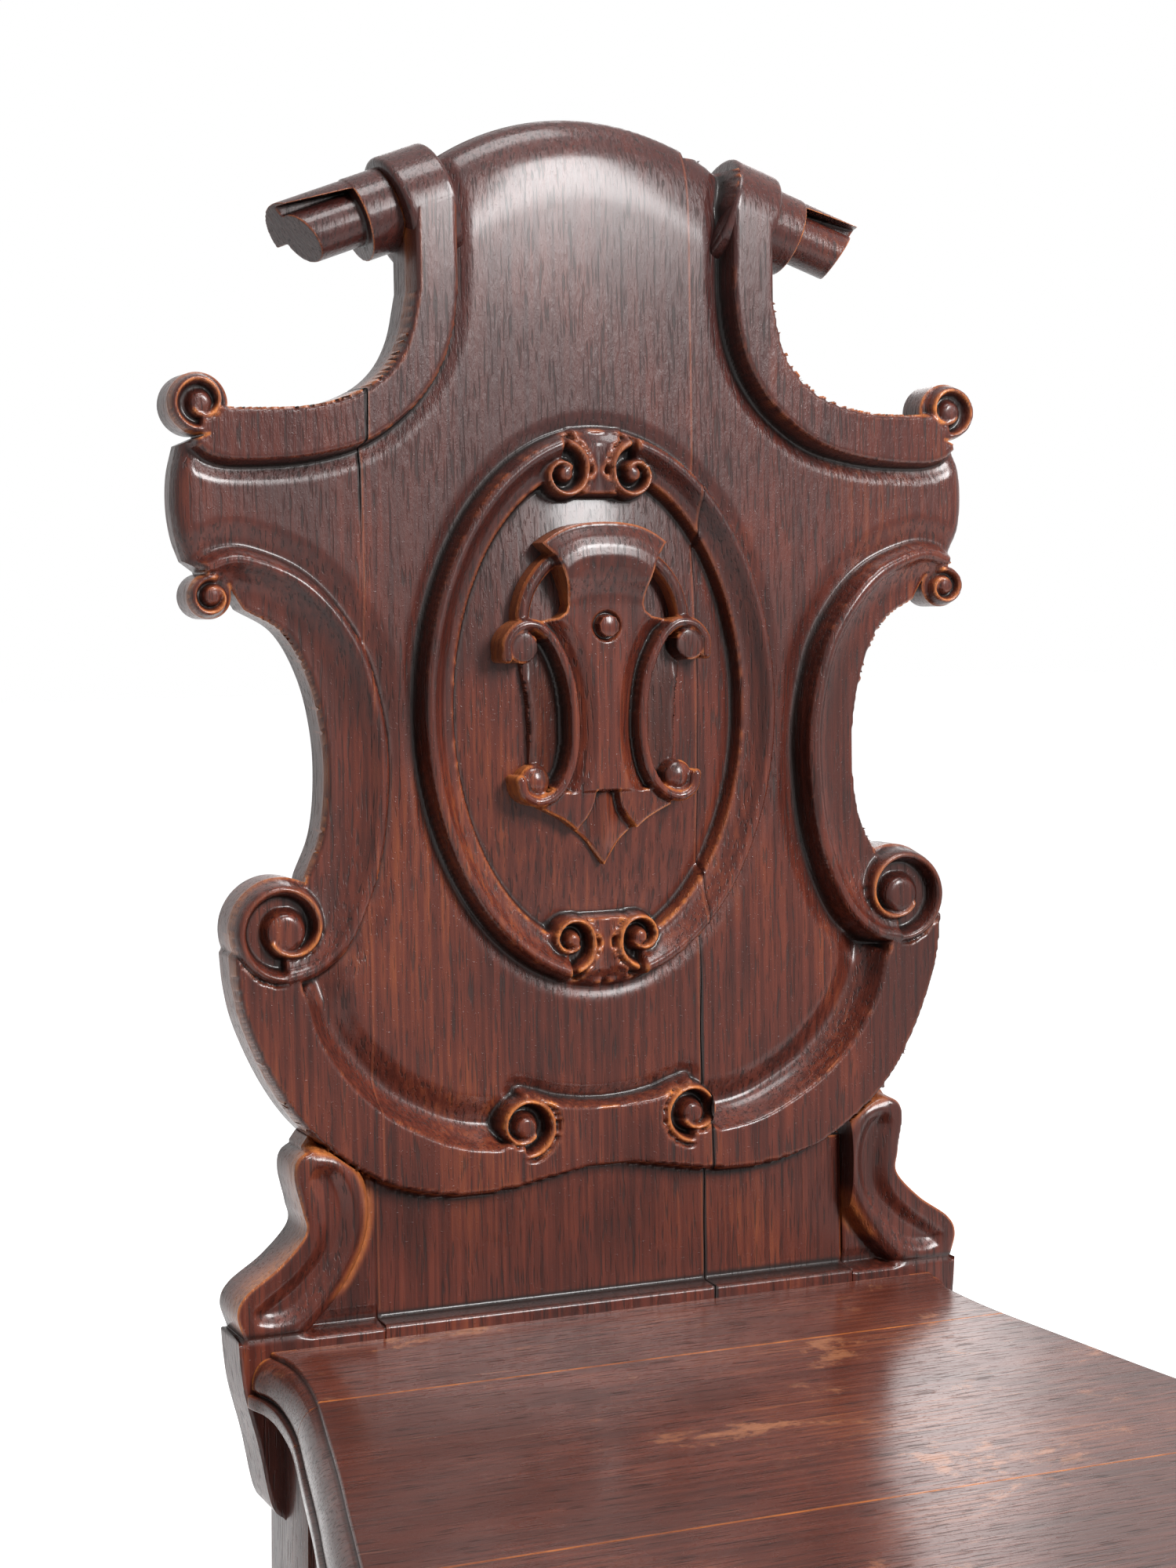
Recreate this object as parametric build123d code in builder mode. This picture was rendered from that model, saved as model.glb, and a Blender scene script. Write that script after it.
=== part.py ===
from build123d import *
from math import cos, sin, radians, atan2, degrees
import os

os.makedirs("parts", exist_ok=True)

# Whole chair, in millimetres: X to the right as seen from the front, Y to the back, the floor at Z = 0
seat_height = 440.0
chair_depth = 450.0
seat_run = 380.0
back_rise = 463.0
back_half_width = 168.0
back_rake = 3.8

# Carved back, of 25 mm oak with the ground cut down in front
board_thickness = 25.0
relief = 10.0
ground_thickness = board_thickness - relief
seam_left = 95.0
seam_right = 43.0
foot_seam_left = seam_left
foot_seam_right = 105.0
ledge_rise = 4.5
ear_drop = 65.0
ear_half_width = 152.5
neck_top = 70.0

# Clearances
pin_clearance = 0.2
pin_end_clearance = 0.5
overrun = 5.0

back_foot_y = seat_run - chair_depth / 2
back_plane = Plane(
    origin=(0, back_foot_y, seat_height),
    x_dir=(1, 0, 0),
    z_dir=(0, -cos(radians(back_rake)), sin(radians(back_rake))),
)
front_face_plane = back_plane.offset(relief)
rear_face_plane = back_plane.offset(-ground_thickness)


def on_back(shares, side=1):
    """Points of the carved back from shares of its half width and of its rise."""
    return [(side * x_share * back_half_width, rise_share * back_rise) for x_share, rise_share in shares]


def back_place(x, rise, height=0.0, tilt=(0, 0, 0)):
    """A plane on the carved back, turned about its own axes."""
    return Plane(back_plane.location * Location((x, rise, height), tilt))


def rods(planes, radius, length):
    """Separate round rods, one from each plane."""
    with BuildPart() as rod_set:
        for plane in planes:
            with BuildSketch(plane):
                Circle(radius)
            extrude(amount=length)
    return rod_set.part


def drilled(planes, radius, length):
    """Holes for such rods, a little wider and longer."""
    return rods([plane.offset(-pin_end_clearance) for plane in planes],
                radius + pin_clearance, length + 2 * pin_end_clearance)


# Outline of the back above the neck: its right half, from the crown to the middle of the skirt
crown_share = (0.350, 0.962)
column_shares = [(0.446, 0.929), (0.446, 0.851)]
shoulder_shares = [(0.446, 0.851), (0.470, 0.812), (0.589, 0.767), (0.869, 0.755)]
upper_volute_share = (0.932, 0.758)
flank_shares = [(0.970, 0.7235), (0.988, 0.676), (0.961, 0.634)]
middle_volute_share = (0.917, 0.606)
bay_shares = [(0.839, 0.595), (0.696, 0.538), (0.664, 0.449), (0.714, 0.379)]
lower_volute_share = (0.774, 0.336)
skirt_shares = [(0.869, 0.289), (0.819, 0.219), (0.693, 0.158), (0.474, 0.114), (0.333, 0.108)]
valance_shares = [(0.333, 0.108), (0.16, 0.114), (0, 0.122)]
upper_volute_radius = 11.5
middle_volute_radius = 8.5
lower_volute_radius = 20.0
skirt_volute_radius = 13.0
skirt_volute_share = (0.211, 0.160)
volute_places = (
    (upper_volute_share, upper_volute_radius),
    (middle_volute_share, middle_volute_radius),
    (lower_volute_share, lower_volute_radius),
)

with BuildSketch() as shield_outline:
    with BuildLine():
        Polyline(*on_back([(0, column_shares[0][1])] + column_shares))
        Spline(*on_back(shoulder_shares), tangents=((0, -1), (1, 0)))
        Polyline(*on_back([shoulder_shares[-1], upper_volute_share, flank_shares[0]]))
        ThreePointArc(*on_back(flank_shares))
        Polyline(*on_back([flank_shares[-1], middle_volute_share, bay_shares[0]]))
        Spline(*on_back(bay_shares))
        Polyline(*on_back([bay_shares[-1], lower_volute_share, skirt_shares[0]]))
        Spline(*on_back(skirt_shares), tangents=((0, -1), (-1, 0)))
        Spline(*on_back(valance_shares), tangents=((-1, 0), (-1, 0)))
        mirror(about=Plane.YZ)
    make_face()
    for place_share, radius in volute_places:
        with Locations(*on_back([place_share]), *on_back([place_share], side=-1)):
            Circle(radius)

# Straps, right half: the shoulder strap, the C strap round the bay and the skirt strap
shoulder_inner_shares = [(0.342, 0.929), (0.342, 0.851), (0.400, 0.780), (0.568, 0.728), (0.836, 0.715), (0.944, 0.723)]
bay_crest_shares = [(0.940, 0.633), (0.827, 0.638), (0.642, 0.597), (0.543, 0.520), (0.529, 0.447), (0.577, 0.357),
                    (0.711, 0.297), (0.774, 0.293)]
skirt_inner_shares = [(0.730, 0.283), (0.642, 0.215), (0.437, 0.159), (0.280, 0.145)]
bridge_shares = [(0.211, 0.185), (0.128, 0.179), (0, 0.172)]

volute_easing = 0.5

with BuildSketch() as shoulder_strap:
    with BuildLine():
        Polyline(*on_back(column_shares))
        Spline(*on_back(shoulder_shares), tangents=((0, -1), (1, 0)))
        Polyline(*on_back([shoulder_shares[-1], upper_volute_share, shoulder_inner_shares[-1]]))
        Spline(*on_back(shoulder_inner_shares[1:]))
        Polyline(*on_back([shoulder_inner_shares[1], shoulder_inner_shares[0], column_shares[0]]))
    make_face()
    with Locations(on_back([upper_volute_share])[0]):
        Circle(upper_volute_radius - volute_easing)

with BuildSketch() as bay_strap:
    with BuildLine():
        Spline(*on_back(bay_shares))
        Polyline(*on_back([bay_shares[-1], lower_volute_share, bay_crest_shares[-1]]))
        Spline(*on_back(bay_crest_shares))
        Polyline(*on_back([bay_crest_shares[0], middle_volute_share, bay_shares[0]]))
    make_face()
    with Locations(on_back([middle_volute_share])[0]):
        Circle(middle_volute_radius - volute_easing)
    with Locations(on_back([lower_volute_share])[0]):
        Circle(lower_volute_radius - volute_easing)

with BuildSketch() as skirt_strap:
    with BuildLine():
        Spline(*on_back(skirt_shares), tangents=((0, -1), (-1, 0)))
        Spline(*on_back(valance_shares), tangents=((-1, 0), (-1, 0)))
        Line(on_back(valance_shares)[-1], on_back(bridge_shares)[-1])
        Spline(*on_back(bridge_shares))
        Line(on_back(bridge_shares)[0], on_back(skirt_inner_shares)[-1])
        Spline(*on_back(skirt_inner_shares))
        Polyline(*on_back([skirt_inner_shares[0], lower_volute_share, skirt_shares[0]]))
    make_face()
    with Locations(on_back([skirt_volute_share])[0]):
        Circle(skirt_volute_radius)

# Hollow face of the C strap: a cut from its rounded crest out past the edge of the bay
bay_hollow_depth = 4.5
bay_hollow_shares = [(0.833, 0.613), (0.744, 0.617), (0.664, 0.589), (0.571, 0.516), (0.560, 0.447), (0.604, 0.363),
                     (0.637, 0.346)]
bay_void_shares = [(0.637, 0.346), (0.690, 0.376), (0.804, 0.432), (0.804, 0.566), (0.833, 0.613)]
with BuildSketch() as bay_hollow:
    with BuildLine():
        Spline(*on_back(bay_hollow_shares))
        Polyline(*on_back(bay_void_shares))
    make_face()

# Grooves of the volutes, each round an eye and open towards its strap
groove_radius_share = 0.6
groove_width_share = 0.24
groove_depth = 4.0
groove_sweep = 290
lower_groove_start = 180
skirt_groove_start = 0
upper_groove_start = 200


def volute_groove(place_share, radius, start):
    """The groove of one volute of the right half, from its starting angle onwards."""
    with BuildSketch() as groove:
        SlotArc(CenterArc(on_back([place_share])[0], groove_radius_share * radius, start, groove_sweep),
                groove_width_share * radius)
    return groove.sketch


with BuildSketch() as grooves:
    add(volute_groove(lower_volute_share, lower_volute_radius, lower_groove_start))
    add(volute_groove(skirt_volute_share, skirt_volute_radius, skirt_groove_start))
    add(volute_groove(upper_volute_share, upper_volute_radius, upper_groove_start))

# Rolled top of the shoulder strap: the strap turns over backwards, its axis falling outwards
roll_radius = 22.0
roll_x = 66.0
roll_rise = 427.0
roll_depth = 13.0
roll_inner_length = 9.0
roll_outer_length = 11.5
horn_tilt = 20.0


def roll_plane(side, along=0.0):
    """The section plane of a rolled strap end, at a distance along its outward falling axis."""
    roll_axis = back_plane.x_dir * (side * cos(radians(horn_tilt))) - back_plane.y_dir * sin(radians(horn_tilt))
    roll_middle = back_place(side * roll_x, roll_rise, -roll_depth).origin
    return Plane(origin=roll_middle + roll_axis * along, x_dir=back_plane.z_dir, z_dir=roll_axis)


# The oval frame: its rim, the hollow inside it, the domed field and the scrolls at top and bottom
oval_rise = 235.0
oval_half_width = 73.5
oval_half_height = 106.6
oval_crest_width = 5.0
oval_band = 13.5
oval_relief = 9.5
oval_inner_relief = 3.5
oval_step = 1.0
field_drop = 3.0
dome_rise = 7.0
oval_scroll_radius = 7.8
oval_scroll_x = 14.5
oval_scroll_rises = (325.0, 146.0)
oval_bridge_relief = 7.0


def oval(inset, level):
    """An ellipse of the oval frame, drawn in from the rim and raised from the ground."""
    with BuildSketch(back_plane.offset(level)) as ellipse:
        with Locations((0, oval_rise)):
            Ellipse(oval_half_width - inset, oval_half_height - inset)
    return ellipse.sketch


oval_crest = oval(oval_crest_width, oval_relief)
oval_inner_edge = oval(oval_band - oval_step, oval_inner_relief)
field_edge = oval(oval_band, -field_drop)
oval_slope = loft([oval_crest, oval_inner_edge])
field_cut = extrude(field_edge, amount=board_thickness)

with BuildPart() as field_dome:
    Sphere(dome_rise)
    scale(by=((oval_half_width - oval_band - oval_step) / dome_rise,
              (oval_half_height - oval_band - oval_step) / dome_rise, 1))
dome_place = back_place(0, oval_rise, -field_drop)

# The carved panel before it is sawn at its glue seams
far_edge_drop = 5.5
far_edge_start = 100.0
column_top_share = column_shares[0][1]
crown_round = 12.0

with BuildPart() as crown:
    with BuildSketch(rear_face_plane):
        with BuildLine():
            crown_ends = on_back([crown_share]) + on_back([crown_share], side=-1)
            ThreePointArc(crown_ends[1], (0, back_rise), crown_ends[0])
            Polyline(crown_ends[0], (crown_ends[0][0], column_top_share * back_rise),
                     (crown_ends[1][0], column_top_share * back_rise), crown_ends[1])
        make_face()
    extrude(amount=ground_thickness)
    top_edges = [edge for edge in crown.edges()
                 if edge.geom_type == GeomType.CIRCLE
                 and back_plane.to_local_coords(edge.center()).Z > -overrun]
    fillet(top_edges, radius=crown_round)

# Everything that stands in front of the ground on the right half; the left half mirrors it
far_tilt = degrees(atan2(far_edge_drop, back_half_width - far_edge_start))
far_plane = back_place(far_edge_start, lower_volute_share[1] * back_rise, relief, (0, far_tilt, 0))

with BuildPart() as half_relief:
    with BuildSketch(back_plane):
        for strap in (shoulder_strap, bay_strap, skirt_strap):
            add(strap.sketch)
    extrude(amount=relief)
    with BuildSketch(front_face_plane):
        add(bay_hollow.sketch)
    extrude(amount=-bay_hollow_depth, mode=Mode.SUBTRACT)
    with BuildSketch(front_face_plane):
        add(grooves.sketch)
    extrude(amount=-groove_depth, mode=Mode.SUBTRACT)
    with BuildSketch(far_plane):
        with Locations((0, lower_volute_radius)):
            Rectangle(back_half_width, back_rise, align=(Align.MIN, Align.MIN))
    extrude(amount=relief, mode=Mode.SUBTRACT)

with BuildPart() as roll:
    with BuildSketch(roll_plane(1, -roll_inner_length)):
        Circle(roll_radius)
    extrude(amount=roll_inner_length + roll_outer_length)

with BuildPart() as panel:
    with BuildSketch(rear_face_plane):
        add(shield_outline.sketch)
    extrude(amount=ground_thickness)
    add(crown.part)
    for side_part in (half_relief.part, roll.part):
        add(side_part)
        mirror(side_part, about=Plane.YZ)
    with BuildSketch(back_plane):
        with Locations((0, oval_rise)):
            Ellipse(oval_half_width, oval_half_height)
    extrude(amount=oval_relief)
    add(oval_slope, mode=Mode.SUBTRACT)
    add(field_cut, mode=Mode.SUBTRACT)
    add(field_dome.part.moved(dome_place.location))
    with BuildSketch(back_plane.offset(-field_drop)):
        for rise in oval_scroll_rises:
            with Locations((-oval_scroll_x, rise), (oval_scroll_x, rise)):
                Circle(oval_scroll_radius)
    extrude(amount=field_drop + oval_relief)
    with BuildSketch(back_plane.offset(-field_drop)):
        for rise in oval_scroll_rises:
            with Locations((0, rise)):
                Rectangle(2 * oval_scroll_x, 2 * oval_scroll_radius - oval_step)
    extrude(amount=field_drop + oval_bridge_relief)

with BuildPart() as foot_panel:
    foot_middle = (foot_seam_right - foot_seam_left) / 2
    foot_width = foot_seam_left + foot_seam_right
    with BuildSketch(rear_face_plane):
        with Locations((foot_middle, -ear_drop)):
            Rectangle(foot_width, ear_drop + neck_top, align=(Align.CENTER, Align.MIN))
    extrude(amount=ground_thickness)
    with BuildSketch(back_plane):
        with Locations((foot_middle, -ear_drop)):
            Rectangle(foot_width, ear_drop + ledge_rise, align=(Align.CENTER, Align.MIN))
    extrude(amount=relief)

with BuildPart() as whole_back:
    add(panel.part)
    add(foot_panel.part)


def between_seams(low, high):
    """The slab of the back from one glue seam to another, square to its face."""
    with BuildPart() as slab:
        with BuildSketch(Plane(origin=back_place(low, 0).origin, x_dir=back_plane.y_dir, z_dir=(1, 0, 0))):
            Rectangle(2 * seat_height + 2 * back_rise, chair_depth)
        extrude(amount=high - low)
    return slab.part


left_slab = between_seams(-back_half_width - overrun, -seam_left)
centre_slab = between_seams(-seam_left, seam_right)
right_slab = between_seams(seam_right, back_half_width + overrun)


# Cartouche, right half: hood, neck, C bands with their scroll discs, skirt tabs and the pointed tongue
cartouche_half_width = 42.0
cartouche_low_rise = 174.0
cartouche_height = 133.0
hood_relief = 15.0
body_relief = 11.0
band_relief = 13.5
tab_relief = 8.5
tongue_relief = 6.5
loop_relief = 9.0
disc_radius = 7.0
band_width = 4.5
loop_width = 6.0
loop_radius = 24.0
loop_start = -10
loop_sweep = 100
peg_radius = 4.5
peg_rise = 267.0
peg_proud = 3.0
hood_shares = [(0, 1.0), (0.35, 0.985), (0.614, 0.94), (0.46, 0.86), (0.37, 0.76), (0, 0.76)]
body_shares = [(0, 0.84), (0.37, 0.84), (0.43, 0.74), (0.62, 0.70), (0.40, 0.56), (0.345, 0.42), (0.40, 0.28),
               (0.52, 0.20), (0, 0.19)]
cove_shares = [(0.62, 0.69), (0.40, 0.56), (0.345, 0.42), (0.40, 0.28), (0.62, 0.23), (0.66, 0.30), (0.66, 0.60)]
tab_shares = [(0.08, 0.26), (0.62, 0.24), (0.62, 0.19), (0.34, 0.115)]
tongue_shares = [(0, 0.26), (0.15, 0.22), (0.30, 0.13), (0.13, 0.08), (0, 0)]
upper_disc_share = (0.83, 0.63)
lower_disc_share = (0.70, 0.25)
loop_centre_share = (0.36, 0.69)
band_shares = [upper_disc_share, (0.62, 0.69), (0.40, 0.56), (0.345, 0.42), (0.40, 0.28), (0.60, 0.205),
               lower_disc_share]


def on_cartouche(shares):
    """Points of the cartouche from shares of its half width and of its height."""
    return [(x_share * cartouche_half_width, cartouche_low_rise + rise_share * cartouche_height)
            for x_share, rise_share in shares]


def cartouche_layer(shares, height):
    """Both mirrored halves of one outline, raised from the seat of the cartouche."""
    with BuildSketch(back_plane) as layer:
        with BuildLine():
            Polyline(*on_cartouche(shares), close=True)
        make_face()
        mirror(about=Plane.YZ)
    return extrude(layer.sketch, amount=height)


cartouche_steps = ((body_shares, body_relief), (cove_shares, tongue_relief), (hood_shares, hood_relief),
                   (tab_shares, tab_relief), (tongue_shares, tongue_relief))
cartouche_layers = [cartouche_layer(shares, height) for shares, height in cartouche_steps]
cartouche_pocket = [cartouche_layer(shares, board_thickness) for shares, height in cartouche_steps]

with BuildPart() as cartouche:
    add(cartouche_layers)
    with BuildSketch(back_plane) as loops:
        loop_centre = on_cartouche([loop_centre_share])[0]
        with BuildLine():
            CenterArc(loop_centre, loop_radius, loop_start, loop_sweep)
        trace(line_width=loop_width)
        mirror(about=Plane.YZ)
    extrude(amount=loop_relief)
    with BuildSketch(back_plane) as bands:
        with BuildLine():
            Spline(*on_cartouche(band_shares))
        trace(line_width=band_width)
        with Locations(*on_cartouche([upper_disc_share, lower_disc_share])):
            Circle(disc_radius)
        mirror(about=Plane.YZ)
    extrude(amount=band_relief)
    with BuildSketch(back_place(0, peg_rise, 0)):
        Circle(peg_radius + pin_clearance)
    extrude(amount=hood_relief, mode=Mode.SUBTRACT)
cartouche.part.label = "cartouche"
export_step(cartouche.part, "parts/cartouche.step")

peg_depth = 9.0
with BuildPart() as cartouche_peg:
    with BuildSketch(back_place(0, peg_rise, -peg_depth)):
        Circle(peg_radius)
    extrude(amount=peg_depth + body_relief + peg_proud)
    chamfer(cartouche_peg.faces().sort_by(Axis.Y)[0].edges(), length=peg_proud / 3)
cartouche_peg.part.label = "cartouche_peg"
export_step(cartouche_peg.part, "parts/cartouche_peg.step")

# Dowels that line up the glue seams of the back and hold the brackets to its foot
dowel_radius = 4.0
dowel_length = 50.0
dowel_depth = 8.0
left_dowel_rises = (90.0, 165.0, 300.0)
right_dowel_rises = (30.0, 100.0, 190.0, 300.0, 380.0)
bracket_dowel_rises = (-12.0, 30.0)


def dowel_planes(x, rises):
    """Starts of dowels that cross a seam of the back."""
    return [Plane(origin=back_place(x - dowel_length / 2, rise, -dowel_depth).origin, z_dir=(1, 0, 0))
            for rise in rises]


back_dowel_planes = dowel_planes(-seam_left, left_dowel_rises) + dowel_planes(seam_right, right_dowel_rises)
bracket_dowel_planes = (dowel_planes(-foot_seam_left, bracket_dowel_rises)
                        + dowel_planes(foot_seam_right, bracket_dowel_rises))
back_dowel_holes = drilled(back_dowel_planes, dowel_radius, dowel_length)
bracket_dowel_holes = drilled(bracket_dowel_planes, dowel_radius, dowel_length)

# Screws from behind, through the back into the rear legs and the rear rail
screw_radius = 2.2
screw_head_radius = 4.6
screw_head_length = 3.0
screw_slot = 0.9
back_screw_length = 36.0
back_screw_rises = (-32.0, -52.0)
back_screw_columns = (-120.0, -45.0, 45.0, 120.0)


def wood_screw(plane, length):
    """A countersunk slotted screw: its head lies in the plane, its shank runs along the plane's axis."""
    with BuildPart() as screw:
        with BuildSketch(plane):
            Circle(screw_head_radius)
        with BuildSketch(plane.offset(screw_head_length)):
            Circle(screw_radius)
        loft()
        with BuildSketch(plane):
            Circle(screw_radius)
        extrude(amount=length)
        with BuildSketch(plane):
            Rectangle(2 * screw_head_radius, screw_slot)
        extrude(amount=screw_slot, mode=Mode.SUBTRACT)
    return screw.part


def screw_set(planes, length):
    """Separate screws, one from each plane."""
    single_screws = [wood_screw(plane, length) for plane in planes]
    with BuildPart() as screws:
        add(single_screws)
    return screws.part


def screw_holes(planes, length):
    """Countersunk holes for such screws."""
    with BuildPart() as holes:
        for plane in planes:
            with BuildSketch(plane.offset(-overrun)):
                Circle(screw_head_radius + pin_clearance)
            extrude(amount=overrun)
            with BuildSketch(plane):
                Circle(screw_head_radius + pin_clearance)
            with BuildSketch(plane.offset(screw_head_length)):
                Circle(screw_radius + pin_clearance)
            loft()
            with BuildSketch(plane):
                Circle(screw_radius + pin_clearance)
            extrude(amount=length + pin_end_clearance)
    return holes.part


back_screw_planes = [
    Plane(origin=back_place(x, rise, -ground_thickness).origin, x_dir=(1, 0, 0), z_dir=back_plane.z_dir)
    for x in back_screw_columns for rise in back_screw_rises
]
back_screw_holes = screw_holes(back_screw_planes, back_screw_length)
back_screws = screw_set(back_screw_planes, back_screw_length)
back_screws.label = "back_screws"
export_step(back_screws, "parts/back_screws.step")

# Stepped scroll ends: a thick step, a smaller roll that runs on to a slanting end, and a tapering flap that curls over
# it from behind, all on a round tenon in the rolled strap
horn_radius = 16.0
horn_step_length = 14.0
horn_rise = 3.0
horn_core_radius = 10.0
horn_core_length = 37.0
horn_core_lead = 2.0
horn_end_front_slope = 0.24
horn_end_drop_slope = 0.30
horn_flap_length = 44.0
horn_flap_root_rise = 11.2
horn_flap_tip_rise = 14.4
horn_flap_radius = 15.6
horn_tenon_radius = 6.0
horn_tenon_length = 14.0

for side, name in ((-1, "horn_left"), (1, "horn_right")):
    roll_end = roll_plane(side, roll_outer_length)
    horn_up = roll_end.z_dir.cross(roll_end.x_dir) * -side
    front_dir = back_plane.z_dir
    horn_root = Plane(origin=roll_end.origin + horn_up * horn_rise, x_dir=roll_end.x_dir, z_dir=roll_end.z_dir)
    with BuildPart() as horn:
        with BuildSketch(horn_root):
            Circle(horn_radius)
        extrude(amount=horn_step_length)
    core_end = horn_root.origin + horn_root.z_dir * horn_core_length + front_dir * horn_core_lead
    end_normal = horn_root.z_dir + front_dir * horn_end_front_slope - horn_up * horn_end_drop_slope
    with BuildPart() as horn_flap:
        with BuildSketch(horn_root):
            Circle(horn_flap_radius)
        extrude(amount=horn_flap_length)
        flap_fall = (horn_flap_tip_rise - horn_flap_root_rise) / (horn_flap_length - horn_step_length)
        flap_start = horn_root.origin + horn_root.z_dir * horn_step_length + horn_up * horn_flap_root_rise
        split(bisect_by=Plane(origin=flap_start, z_dir=horn_up - horn_root.z_dir * flap_fall), keep=Keep.TOP)
    with BuildPart() as horn_web:
        with BuildSketch(horn_root):
            Circle(horn_flap_radius)
        extrude(amount=horn_flap_length)
        split(bisect_by=Plane(origin=horn_root.origin, z_dir=-front_dir), keep=Keep.TOP)
        split(bisect_by=Plane(origin=horn_root.origin, z_dir=horn_up), keep=Keep.TOP)
    with BuildPart() as horn_core:
        with BuildSketch(Plane(origin=horn_root.origin + front_dir * horn_core_lead, x_dir=horn_root.x_dir,
                               z_dir=horn_root.z_dir)):
            Circle(horn_core_radius)
        extrude(amount=horn_flap_length + horn_core_radius)
    with BuildPart() as horn_run:
        add(horn_core.part)
        add(horn_web.part)
        add(horn_flap.part)
        split(bisect_by=Plane(origin=core_end, z_dir=end_normal), keep=Keep.BOTTOM)
    with BuildPart() as horn_body:
        add(horn.part)
        add(horn_run.part)
        column_side = side * (column_shares[0][0] * back_half_width + pin_clearance)
        split(bisect_by=Plane(origin=(column_side, 0, 0), z_dir=(side, 0, 0)), keep=Keep.TOP)
    with BuildPart() as horn_tenon:
        with BuildSketch(roll_end):
            Circle(horn_tenon_radius)
        extrude(amount=-horn_tenon_length)
    with BuildPart() as whole_horn:
        add(horn_body.part)
        add(horn_tenon.part)
    whole_horn.part.label = name
    export_step(whole_horn.part, f"parts/{name}.step")

# The three boards of the back, each with its share of the carving and a foot behind the seat
with BuildPart() as back_board_left:
    add(panel.part)
    add(left_slab, mode=Mode.INTERSECT)
    add(back_dowel_holes, mode=Mode.SUBTRACT)
back_board_left.part.label = "back_board_left"
export_step(back_board_left.part, "parts/back_board_left.step")

with BuildPart() as back_board_centre:
    add(whole_back.part)
    add(centre_slab, mode=Mode.INTERSECT)
    add(cartouche_pocket, mode=Mode.SUBTRACT)
    with BuildSketch(back_plane):
        add(loops.sketch_local)
        add(bands.sketch_local)
    extrude(amount=board_thickness, mode=Mode.SUBTRACT)
    with BuildSketch(roll_plane(-1, roll_outer_length - horn_tenon_length - pin_end_clearance)):
        Circle(horn_tenon_radius + pin_clearance)
    extrude(amount=horn_flap_length, mode=Mode.SUBTRACT)
    with BuildSketch(back_place(0, peg_rise, -peg_depth - pin_end_clearance)):
        Circle(peg_radius + pin_clearance)
    extrude(amount=board_thickness, mode=Mode.SUBTRACT)
    add(back_dowel_holes, mode=Mode.SUBTRACT)
    add(bracket_dowel_holes, mode=Mode.SUBTRACT)
    add(back_screw_holes, mode=Mode.SUBTRACT)
back_board_centre.part.label = "back_board_centre"
export_step(back_board_centre.part, "parts/back_board_centre.step")

with BuildPart() as back_board_right:
    add(whole_back.part)
    add(right_slab, mode=Mode.INTERSECT)
    with BuildSketch(roll_plane(1, roll_outer_length - horn_tenon_length - pin_end_clearance)):
        Circle(horn_tenon_radius + pin_clearance)
    extrude(amount=horn_flap_length, mode=Mode.SUBTRACT)
    add(back_dowel_holes, mode=Mode.SUBTRACT)
    add(bracket_dowel_holes, mode=Mode.SUBTRACT)
    add(back_screw_holes, mode=Mode.SUBTRACT)
back_board_right.part.label = "back_board_right"
export_step(back_board_right.part, "parts/back_board_right.step")

back_dowels = rods(back_dowel_planes, dowel_radius, dowel_length)
back_dowels.label = "back_dowels"
export_step(back_dowels, "parts/back_dowels.step")
bracket_dowels = rods(bracket_dowel_planes, dowel_radius, dowel_length)
bracket_dowels.label = "bracket_dowels"
export_step(bracket_dowels, "parts/bracket_dowels.step")

# Brackets: a hollowed kidney on the end of the ledge, with the tapering ear below it, right half
kidney_outer_shares = [(0.893, 0.0097), (0.909, 0.031), (0.887, 0.047), (0.810, 0.067), (0.748, 0.091),
                       (0.753, 0.110), (0.768, 0.136), (0.759, 0.152), (0.714, 0.161)]
kidney_inner_shares = [(0.714, 0.161), (0.643, 0.152), (0.601, 0.130), (0.592, 0.097), (0.616, 0.067),
                       (0.674, 0.034), (0.738, 0.0097)]
ear_shares = [(0.908, 0), (0.893, -0.040), (0.868, -0.079), (0.842, -0.125), (0.810, -0.140)]
kidney_hollow_shares = [(0.869, 0.0194), (0.875, 0.0324), (0.851, 0.041), (0.780, 0.0583), (0.720, 0.0832),
                        (0.720, 0.1123), (0.735, 0.136), (0.711, 0.149), (0.661, 0.1425), (0.631, 0.1242),
                        (0.624, 0.0994), (0.643, 0.0713), (0.695, 0.0432), (0.756, 0.0194)]
kidney_hollow_depth = 2.5

with BuildSketch() as kidney:
    with BuildLine():
        Spline(*on_back(kidney_outer_shares))
        Spline(*on_back(kidney_inner_shares))
        Line(on_back(kidney_inner_shares)[-1], on_back(kidney_outer_shares)[0])
    make_face()

with BuildSketch() as kidney_hollow:
    with BuildLine():
        Spline(*on_back(kidney_hollow_shares), periodic=True)
    make_face()


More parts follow.
